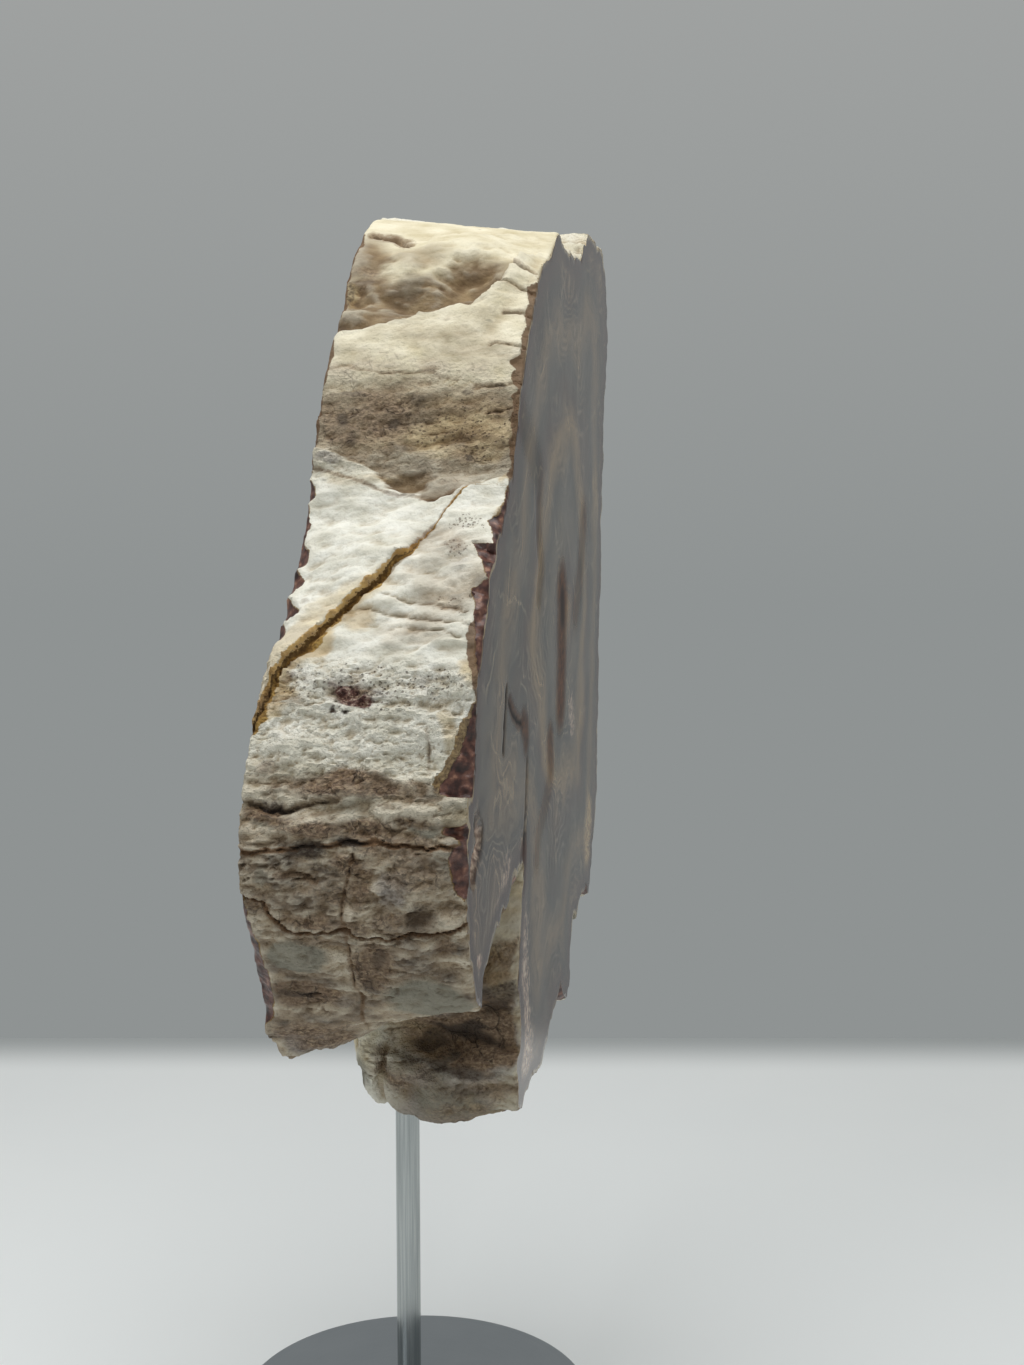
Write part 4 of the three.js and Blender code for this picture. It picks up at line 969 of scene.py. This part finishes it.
class Look:
    """A material and short calls that add nodes to it.

    Sizes in its textures are in millimetres. A plain colour is written as it is seen, 0 to 255.
    """

    def __init__(self, name, **settings):
        self.material = bpy.data.materials.new(name)
        self.material.use_nodes = True
        self.tree = self.material.node_tree
        self.shader = self.tree.nodes["Principled BSDF"]
        for socket, value in settings.items():
            self.shader.inputs[socket].default_value = value
        coordinates = self.node("TexCoord")
        self.place = self.vector("MULTIPLY", coordinates.outputs["Object"], (1 / MM,) * 3)

    def node(self, kind, values=(), **settings):
        """A new node with its settings, whose first inputs take the values given."""
        node = self.tree.nodes.new("ShaderNode" + kind)
        for setting, value in settings.items():
            setattr(node, setting, value)
        for socket, value in zip(node.inputs, values):
            self.feed(socket, value)
        return node

    def feed(self, socket, value):
        if isinstance(value, bpy.types.NodeSocket):
            self.tree.links.new(value, socket)
        else:
            socket.default_value = value

    def vector(self, operation, *values):
        return self.node("VectorMath", values, operation=operation).outputs["Vector"]

    def length(self, vector):
        return self.node("VectorMath", (vector,), operation="LENGTH").outputs["Value"]

    def math(self, operation, *values, clamp=False):
        return self.node("Math", values, operation=operation, use_clamp=clamp).outputs[0]

    def times(self, first, second):
        return self.math("MULTIPLY", first, second)

    def plus(self, first, second):
        return self.math("ADD", first, second)

    def minus(self, first, second):
        return self.math("SUBTRACT", first, second)

    def line(self, value, slope, start):
        """Value times slope, plus start."""
        return self.math("MULTIPLY_ADD", value, slope, start)

    def swing(self, texture, reach):
        """A texture from 0 to 1, made to run over reach with its middle at 0."""
        return self.times(self.minus(texture, 0.5), reach)

    def attribute(self, name):
        return self.node("Attribute", attribute_name=name).outputs["Fac"]

    def axis(self, name):
        return self.node("SeparateXYZ", (self.place,)).outputs[name]

    def noise(self, size, detail=3.0, stretch=1.0, place=None, distortion=0.0):
        """Noise from 0 to 1 whose grain is size, and stretch times longer from face to back."""
        node = self.node("TexNoise")
        scaled = self.vector("MULTIPLY", place or self.place, (1 / size, 1 / (size * stretch), 1 / size))
        self.feed(node.inputs["Vector"], scaled)
        for socket, value in (("Scale", 1.0), ("Detail", detail), ("Distortion", distortion)):
            node.inputs[socket].default_value = value
        return node.outputs["Fac"]

    def cells(self, size, place=None, feature="F1"):
        """A texture of cells of about that size."""
        node = self.node("TexVoronoi", feature=feature)
        self.feed(node.inputs["Vector"], place or self.place)
        node.inputs["Scale"].default_value = 1 / size
        return node

    def veins(self, size, width, bend_size=7.0, bend=9.0):
        """Thin wandering veins along the walls of warped cells."""
        warp = self.vector("MULTIPLY", self.noise(bend_size), (bend,) * 3)
        cells = self.cells(size, self.vector("ADD", self.place, warp), "DISTANCE_TO_EDGE")
        return self.spread(cells.outputs["Distance"], width / size, 0.0)

    def spread(self, value, low, high):
        """Value stretched so that low becomes 0 and high becomes 1."""
        node = self.node("MapRange", (value, low, high), interpolation_type="SMOOTHSTEP")
        return node.outputs["Result"]

    def broken(self, strength, texture, ragged, sharpness):
        """A patch's strength broken up by a texture, so that its edge is speckled and its middle is whole."""
        shifted = self.line(self.minus(texture, 0.5), ragged * 2, self.minus(strength, 0.5))
        return self.math("MULTIPLY_ADD", shifted, sharpness, 0.5, clamp=True)

    def mix(self, share, first, second, blend="MIX"):
        node = self.node("Mix", data_type="RGBA", blend_type=blend)
        self.feed(node.inputs["Factor"], share)
        for socket, colour in zip(node.inputs[6:8], (first, second)):
            self.feed(socket, srgb(*colour) if isinstance(colour, tuple) else colour)
        return node.outputs[2]

    def paint(self, colour, paint, share, strength, blend="MIX"):
        return self.mix(self.times(share, strength), colour, paint, blend)

    def patch(self, colour, name, paint, texture, ragged, sharpness):
        """Paints where an attribute is strong, with an edge broken up by a texture."""
        return self.mix(self.broken(self.attribute(name), texture, ragged, sharpness), colour, paint)

    def ramp(self, value, *stops):
        """Colours by value, from stops (value, red, green, blue)."""
        node = self.node("ValToRGB", (value,))
        elements = node.color_ramp.elements
        while len(elements) < len(stops):
            elements.new(0.5)
        for element, (position, *colour) in zip(elements, stops):
            element.position = position
            element.color = srgb(*colour)
        return node.outputs["Color"]

    def bump(self, height, distance, strength=1.0):
        node = self.node("Bump")
        for socket, value in (("Distance", distance * MM), ("Strength", strength), ("Height", height)):
            self.feed(node.inputs[socket], value)
        self.feed(self.shader.inputs["Normal"], node.outputs["Normal"])

    def finish(self, colour, roughness):
        self.feed(self.shader.inputs["Base Color"], colour)
        self.feed(self.shader.inputs["Roughness"], roughness)
        return self.material


# The crust

def froth_holes(look):
    """Tiny round holes, more of them where the pore attribute is strong."""
    cells = look.cells(0.36)
    hole = look.spread(cells.outputs["Distance"], 0.5, 0.25)
    number = look.node("SeparateColor", (cells.outputs["Color"],)).outputs[0]
    return look.times(hole, look.math("LESS_THAN", number, look.attribute("pore")))


def crumb_cells(look):
    """Rounded crumbs with crisp valleys between them, as the distance from each crumb's middle."""
    warp = look.vector("MULTIPLY", look.noise(1.3), (1.1, 1.1, 1.1))
    return look.cells(0.8, look.vector("ADD", look.place, warp)).outputs["Distance"]


def crust_ground(look, speckle, mottle, clouds):
    """Cream and white crust with its patches of age, stain and other colours."""
    cream = look.ramp(mottle, (0.3, 204, 192, 158), (0.7, 236, 228, 202))
    white = look.ramp(mottle, (0.3, 212, 209, 193), (0.7, 240, 239, 229))
    aged = look.ramp(
        mottle, (0.28, 82, 69, 57), (0.42, 136, 121, 102), (0.56, 174, 159, 136), (0.7, 220, 210, 190)
    )
    wash = look.ramp(mottle, (0.3, 98, 80, 60), (0.5, 132, 112, 84), (0.7, 164, 144, 110))
    sand = look.ramp(speckle, (0.3, 188, 176, 160), (0.44, 255, 255, 255))
    lavender = look.ramp(speckle, (0.3, 108, 100, 95), (0.7, 160, 153, 147))
    sage = look.ramp(clouds, (0.3, 116, 113, 100), (0.7, 152, 147, 131))
    brown = look.ramp(speckle, (0.3, 90, 74, 60), (0.5, 129, 108, 87), (0.72, 168, 148, 120))
    ochre = look.ramp(mottle, (0.3, 176, 146, 98), (0.7, 220, 203, 162))
    colour = look.mix(look.attribute("white"), cream, white)
    colour = look.patch(colour, "age", aged, clouds, 0.7, 1.5)
    colour = look.patch(colour, "wash", wash, clouds, 0.3, 1.15)
    sandy = look.math("MULTIPLY", look.attribute("rough"), 0.6, clamp=True)
    colour = look.mix(sandy, colour, sand, "MULTIPLY")
    # Painted light: places that stand proud of the relief are painted paler
    colour = look.paint(colour, (226, 220, 202), look.attribute("proud"), 0.35)
    colour = look.patch(colour, "lavender", lavender, mottle, 0.5, 1.6)
    colour = look.patch(colour, "sage", sage, mottle, 0.4, 2.0)
    colour = look.patch(colour, "stain", brown, mottle, 0.6, 1.8)
    return look.patch(colour, "ochre", ochre, mottle, 0.35, 1.3)


def crust_marks(look, colour, speckle, mottle, torn, holes):
    """Fine lines, fissures, torn cracks, dark patches, froth holes and raw red-brown spots."""
    umber = look.ramp(speckle, (0.35, 36, 31, 27), (0.7, 80, 66, 54))
    raw = look.ramp(speckle, (0.34, 66, 40, 38), (0.5, 116, 82, 74), (0.66, 190, 172, 156))
    line = look.plus(look.attribute("line"), look.swing(speckle, 2.2))
    colour = look.paint(colour, (124, 92, 60), look.spread(line, 2.4, 0.9), look.attribute("line_rust"))
    colour = look.paint(colour, (82, 62, 46), look.attribute("fissure"), 0.85)
    colour = look.paint(colour, (66, 51, 40), torn, 0.6)
    colour = look.patch(colour, "dark", umber, speckle, 0.6, 1.7)
    colour = look.paint(colour, (50, 38, 29), look.spread(line, 1.1, 0.4), look.attribute("line_dark"))
    colour = look.paint(colour, (104, 84, 66), holes, 0.6)
    return look.patch(colour, "raw", raw, mottle, 0.6, 2.2)


def crack_bands(look, crust, speckle, mottle):
    """The open crack: a golden upper edge, a painted shadow under it as a dark line, and a rusty floor of
    uneven width.
    """
    fill = look.ramp(speckle, (0.3, 104, 76, 34), (0.5, 150, 117, 56), (0.72, 190, 157, 90))
    gold = look.ramp(mottle, (0.35, 148, 108, 42), (0.65, 208, 168, 88))
    gap = look.plus(look.attribute("crack"), look.swing(speckle, 0.35))
    below = look.spread(gap, 0.03, -0.03)
    floor = look.times(look.spread(look.plus(gap, look.swing(mottle, 1.7)), -0.85, -0.7), below)
    colour = look.mix(floor, crust, fill)
    # Painted shadow: a dark line under the crack's overhanging upper edge
    lip_shadow = look.times(look.spread(gap, -0.26, -0.14), below)
    colour = look.paint(colour, (66, 46, 20), lip_shadow, 0.62)
    upper = look.spread(look.plus(gap, look.swing(mottle, 0.8)), 0.34, 0.22)
    edge = look.times(look.spread(gap, -0.04, 0.04), upper)
    colour = look.paint(colour, gold, edge, 0.85)
    return look.mix(look.attribute("near"), crust, colour)


def chip_layers(look, colour, speckle, mottle):
    """Lost flakes, and glassy red-brown chips with a rusty border. Also gives where the chips are glassy."""
    rust = look.ramp(speckle, (0.3, 88, 64, 36), (0.52, 134, 106, 62), (0.74, 176, 150, 102))
    maroon = look.ramp(
        look.noise(1.1), (0.3, 34, 20, 17), (0.46, 72, 44, 38), (0.6, 108, 72, 60), (0.72, 160, 120, 98)
    )
    ragged = look.swing(speckle, 0.5)
    inside = look.plus(look.attribute("chip"), ragged)
    border = look.times(look.spread(inside, -0.06, 0.04), look.spread(mottle, 0.25, 0.45))
    colour = look.paint(colour, rust, border, 0.9)
    flaked = look.spread(look.plus(look.attribute("flake"), ragged), -0.04, 0.06)
    colour = look.paint(colour, (112, 86, 62), flaked, 0.9)
    glass = look.spread(look.minus(inside, look.attribute("border")), -0.03, 0.05)
    return look.mix(glass, colour, maroon), glass


def crust_look():
    """The natural rim: cream and white crust with stains, and red-brown glassy chips at its edges."""
    look = Look("crust")
    speckle = look.noise(0.36, 4.0, 1.4)
    mottle = look.noise(2.4, 5.0, 1.8)
    clouds = look.noise(6.0, 4.0, 1.6)
    holes = froth_holes(look)
    torn = look.times(look.veins(3.0, 0.16, 1.4, 3.0), look.spread(mottle, 0.46, 0.56))
    torn = look.times(torn, look.attribute("stain"))
    colour = crust_ground(look, speckle, mottle, clouds)
    colour = crust_marks(look, colour, speckle, mottle, torn, holes)
    colour = crack_bands(look, colour, speckle, mottle)
    # Painted shade: the crust is darkened in the hollows of the relief
    colour = look.paint(colour, (196, 178, 152), look.attribute("hollow"), 0.7, "MULTIPLY")
    colour, glass = chip_layers(look, colour, speckle, mottle)
    height = look.line(speckle, 1.1, look.times(look.noise(0.2, 2.0), 0.4))
    for sunk, depth in ((crumb_cells(look), 0.7), (holes, 0.7), (torn, 0.9)):
        height = look.minus(height, look.times(sunk, depth))
    rough = look.times(look.attribute("rough"), look.line(glass, -0.8, 1.0))
    look.bump(look.times(height, rough), 0.36)
    return look.finish(colour, look.line(glass, -0.5, 0.88))


# The sawn faces

def ring_colour(look, wobble, wobble_fine):
    """Growth rings, rays and zones of colour."""
    ring = look.plus(look.attribute("ring"), look.swing(wobble, 0.36))
    zones = look.ramp(
        ring, (0.05, 142, 112, 78), (0.16, 60, 38, 30), (0.27, 96, 86, 76), (0.38, 48, 42, 38),
        (0.5, 146, 122, 90), (0.58, 70, 48, 38), (0.68, 60, 56, 54), (0.78, 126, 106, 84), (0.87, 52, 42, 38),
        (0.93, 74, 52, 42), (0.985, 104, 82, 64),
    )
    fine_ring = look.plus(ring, look.swing(wobble_fine, 0.03))
    turns = look.math("SINE", look.times(fine_ring, 2 * math.pi * RING_COUNT))
    dark_rings = look.times(look.spread(turns, 0.1, 1.0), look.spread(wobble_fine, 0.35, 0.65))
    colour = look.paint(zones, (44, 31, 28), dark_rings, 0.6)
    pale_rings = look.times(look.spread(turns, -0.5, -1.0), look.spread(wobble, 0.45, 0.6))
    colour = look.paint(colour, (168, 154, 138), pale_rings, 0.45)
    heart = (SLICE_X + HEART[0], 0.0, SLICE_Z + HEART[1])
    outward = look.vector("MULTIPLY", look.vector("SUBTRACT", look.place, heart), (1, 0, 1))
    rays = look.noise(0.035, 2.0, place=look.vector("NORMALIZE", outward))
    return look.paint(colour, (146, 132, 118), look.spread(rays, 0.5, 0.8), 0.2)


def cut_colour(look):
    """Rings with healed cracks, fissures, clouds and marks, and a worn dark rind at the edge."""
    wobble, wobble_fine, grit = look.noise(16.0), look.noise(4.0), look.noise(0.8)
    ochre = look.ramp(grit, (0.35, 150, 112, 74), (0.65, 206, 186, 150))
    rust = look.ramp(grit, (0.35, 56, 30, 22), (0.65, 112, 72, 46))
    pink = look.ramp(grit, (0.35, 164, 132, 124), (0.65, 226, 208, 198))
    colour = ring_colour(look, wobble, wobble_fine)
    healed = look.times(look.veins(21.0, 0.35), look.spread(wobble_fine, 0.42, 0.55))
    colour = look.paint(colour, (182, 168, 146), healed, 0.4)
    fissures = look.times(look.veins(34.0, 0.3), look.spread(wobble, 0.5, 0.6))
    colour = look.paint(colour, (36, 25, 23), fissures, 0.85)
    clouds = look.spread(look.noise(9.0, 4.0, distortion=0.6), 0.5, 0.68)
    colour = look.paint(colour, (96, 90, 88), clouds, 0.5)
    colour = look.patch(colour, "ochre", ochre, wobble_fine, 0.5, 1.5)
    colour = look.patch(colour, "rust", rust, wobble_fine, 0.4, 1.5)
    colour = look.patch(colour, "white", pink, grit, 0.5, 1.6)
    colour = look.patch(colour, "dark", (26, 18, 16), grit, 0.3, 3.0)
    edge = look.plus(look.attribute("rind"), look.swing(wobble_fine, 2.4))
    colour = look.mix(look.spread(edge, 3.4, 1.4), colour, (66, 42, 37))
    worn = look.times(look.spread(edge, 0.7, 0.2), look.spread(wobble, 0.4, 0.6))
    colour = look.mix(worn, colour, (170, 156, 132))
    return look.mix(1.0, colour, (255, 249, 232), "MULTIPLY")


def polished_look():
    look = Look("polished_face", IOR=1.54)
    haze = look.line(look.noise(12.0), 0.16, 0.08)
    unpolished = look.math("MAXIMUM", look.attribute("dark"), look.times(look.attribute("rust"), 0.6))
    look.bump(look.noise(1.4, 2.0), 0.01, 0.3)
    return look.finish(cut_colour(look), look.plus(haze, look.times(unpolished, 0.7)))


def sawn_look():
    look = Look("sawn_back")
    saw = look.noise(1.1, place=look.vector("MULTIPLY", look.place, (1.0, 1.0, 0.12)))
    colour = look.mix(0.35, cut_colour(look), (164, 154, 142))
    colour = look.paint(colour, (190, 182, 170), look.spread(saw, 0.55, 0.7), 0.3)
    look.bump(saw, 0.12, 0.6)
    return look.finish(colour, look.line(saw, 0.3, 0.5))


# The stand's metals

def rod_look():
    look = Look("drawn_metal", Metallic=1.0)
    drawn = look.noise(0.25, place=look.vector("MULTIPLY", look.place, (1.0, 1.0, 0.02)))
    look.bump(drawn, 0.01, 0.4)
    colour = look.ramp(drawn, (0.3, 149, 154, 154), (0.7, 178, 182, 181))
    return look.finish(colour, look.line(drawn, 0.16, 0.1))


def base_look():
    look = Look("turned_metal", Metallic=1.0)
    radius = look.length(look.vector("MULTIPLY", look.place, (1, 1, 0)))
    turned_place = look.node("CombineXYZ", (radius, 0.0, look.axis("Z"))).outputs[0]
    turned = look.noise(0.3, 2.0, place=turned_place)
    look.bump(turned, 0.012, 0.5)
    colour = look.mix(look.times(look.noise(6.0), 0.5), (161, 167, 172), (181, 186, 190))
    return look.finish(colour, look.line(turned, 0.14, 0.3))


# The metal pieces

def link(name, data):
    piece = bpy.data.objects.new(name, data)
    bpy.context.scene.collection.objects.link(piece)
    return piece


def turned_piece(name, profile, sides, look, centre=(0, 0)):
    """A piece turned about an upright axis, from the radius and height of each step of its profile."""
    bm = bmesh.new()
    turns = [2 * math.pi * k / sides for k in range(sides)]

    def corner(radius, angle, height):
        x, y = centre[0] + radius * math.cos(angle), centre[1] + radius * math.sin(angle)
        return bm.verts.new((x * MM, y * MM, height * MM))

    rings = [
        [corner(radius, angle, height) for angle in turns] if radius else [corner(0, 0, height)] * sides
        for radius, height in profile
    ]
    for lower, upper in zip(rings, rings[1:]):
        for k in range(sides):
            corners = [lower[k], lower[(k + 1) % sides], upper[(k + 1) % sides], upper[k]]
            bm.faces.new(list(dict.fromkeys(corners)))
    bmesh.ops.recalc_face_normals(bm, faces=bm.faces)
    mesh = bpy.data.meshes.new(name)
    bm.to_mesh(mesh)
    bm.free()
    mesh.shade_smooth()
    mesh.set_sharp_from_angle(angle=math.radians(METAL_CREASE))
    mesh.materials.append(look)
    return link(name, mesh)


def rounded(radius, height, size, steps=8):
    """Profile points of a rounded outer edge below and inside the corner at radius and height."""
    angles = [math.pi / 2 * k / steps for k in range(steps + 1)]
    return [(radius - size * (1 - math.cos(a)), height - size * (1 - math.sin(a))) for a in angles]


def make_rod():
    low, high = (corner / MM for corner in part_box("rod"))
    radius = (high.x - low.x) / 2
    centre = ((high.x + low.x) / 2, (high.y + low.y) / 2)
    end = 0.25
    profile = [(0, low.z), (radius - end, low.z), (radius, low.z + end)]
    profile += [(radius, high.z - end), (radius - end, high.z), (0, high.z)]
    return turned_piece("drawn_rod", profile, 64, rod_look(), centre)


def make_base():
    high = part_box("base")[1] / MM
    radius, height = high.x, high.z
    foot, fillet = 0.5, 0.5
    profile = [(0, 0), (radius - foot, 0), (radius, foot), *rounded(radius, height, fillet)]
    profile += [(radius * 0.6, height), (0, height)]
    return turned_piece("turned_base", profile, 192, base_look())


# Camera, floor and light

PHOTO_HEIGHT = 1365
FOCAL_PIXELS = 1893
SENSOR_HEIGHT = 36
CAMERA_PLACE = (-235.92, -57.86, 137.21)
CAMERA_PITCH = 7.1
CAMERA_YAW = 10.7
LIGHT_TARGET = (10, 0, 100)

# The table's reach from below the camera, how far off its colour fades, and the base's place on it, round
# which the table is painted paler as a painted pool of light
TABLE_FAR, TABLE_NEAR, TABLE_SIDE, TABLE_THICK = 432, 560, 460, 20
TABLE_FADE = (404, 430)
BASE_FROM_CAMERA = (242.6, 13.0, 0.0)


def make_camera():
    data = bpy.data.cameras.new("camera")
    data.sensor_width = SENSOR_HEIGHT
    data.lens = FOCAL_PIXELS / PHOTO_HEIGHT * SENSOR_HEIGHT
    camera = link("camera", data)
    pitch, yaw = math.radians(CAMERA_PITCH), math.radians(CAMERA_YAW)
    level = math.cos(pitch)
    forward = Vector((math.cos(yaw) * level, math.sin(yaw) * level, -math.sin(pitch)))
    camera.location = Vector(CAMERA_PLACE) * MM
    camera.rotation_euler = forward.to_track_quat("-Z", "Y").to_euler()
    bpy.context.scene.camera = camera


def table_look():
    look = Look("pale_table")
    pale = look.mix(look.noise(40.0), (226, 229, 229), (233, 235, 234))
    # Painted light: round the base the table is painted paler, a pool of light that offsets the shade the
    # stone and the base cast on it
    painted_pool_gap = look.length(look.vector("SUBTRACT", look.place, BASE_FROM_CAMERA))
    pale = look.mix(look.spread(painted_pool_gap, 190.0, 50.0), pale, (240, 243, 243))
    return look.finish(look.mix(look.spread(look.axis("X"), *TABLE_FADE), pale, (162, 166, 166)), 0.6)


def make_floor():
    """A pale table top whose far edge crosses the picture where the photograph's does."""
    bm = bmesh.new()
    for corner in bmesh.ops.create_cube(bm, size=1.0)["verts"]:
        x = (TABLE_FAR + TABLE_NEAR) * corner.co.x + (TABLE_FAR - TABLE_NEAR) / 2
        corner.co = (x * MM, 2 * TABLE_SIDE * corner.co.y * MM, TABLE_THICK * (corner.co.z - 0.5) * MM)
    bmesh.ops.bevel(bm, geom=bm.edges, offset=3 * MM, segments=4, affect="EDGES")
    mesh = bpy.data.meshes.new("floor")
    bm.to_mesh(mesh)
    bm.free()
    mesh.materials.append(table_look())
    floor = link("floor", mesh)
    floor.location = Vector((CAMERA_PLACE[0], CAMERA_PLACE[1], 0)) * MM
    floor.rotation_euler.z = math.radians(CAMERA_YAW)


def make_light(name, place, size, power):
    data = bpy.data.lights.new(name, "AREA")
    data.shape = "SQUARE"
    data.size = size * MM
    data.energy = power
    lamp = link(name, data)
    lamp.location = Vector(place) * MM
    lamp.rotation_euler = (Vector(LIGHT_TARGET) - Vector(place)).to_track_quat("-Z", "Y").to_euler()


def make_world():
    """Grey all round, a little paler upwards."""
    world = bpy.data.worlds.new("studio")
    world.use_nodes = True
    tree = world.node_tree
    coordinates, separate, height, ramp = (
        tree.nodes.new("ShaderNode" + kind) for kind in ("TexCoord", "SeparateXYZ", "MapRange", "ValToRGB")
    )
    height.inputs["From Min"].default_value = -0.4
    height.inputs["From Max"].default_value = 0.4
    tree.links.new(coordinates.outputs["Generated"], separate.inputs[0])
    tree.links.new(separate.outputs["Z"], height.inputs["Value"])
    tree.links.new(height.outputs["Result"], ramp.inputs["Fac"])
    tree.links.new(ramp.outputs["Color"], tree.nodes["Background"].inputs["Color"])
    low, high = ramp.color_ramp.elements
    low.position, low.color = 0.4, srgb(143, 147, 147)
    high.position, high.color = 0.85, srgb(162, 164, 163)
    bpy.context.scene.world = world


bpy.context.scene.view_settings.view_transform = "Standard"
for piece, node, slot in (
    (make_slice(), "slice", "petrified_wood"),
    (make_rod(), "rod", "rod_metal"),
    (make_base(), "base", "base_metal"),
):
    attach(piece, "root")
    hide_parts(node)
make_camera()
make_floor()
make_world()
make_light("overhead", (-60, 0, 520), 420, 1.7)
make_light("side", (-420, 260, 300), 300, 0.25)
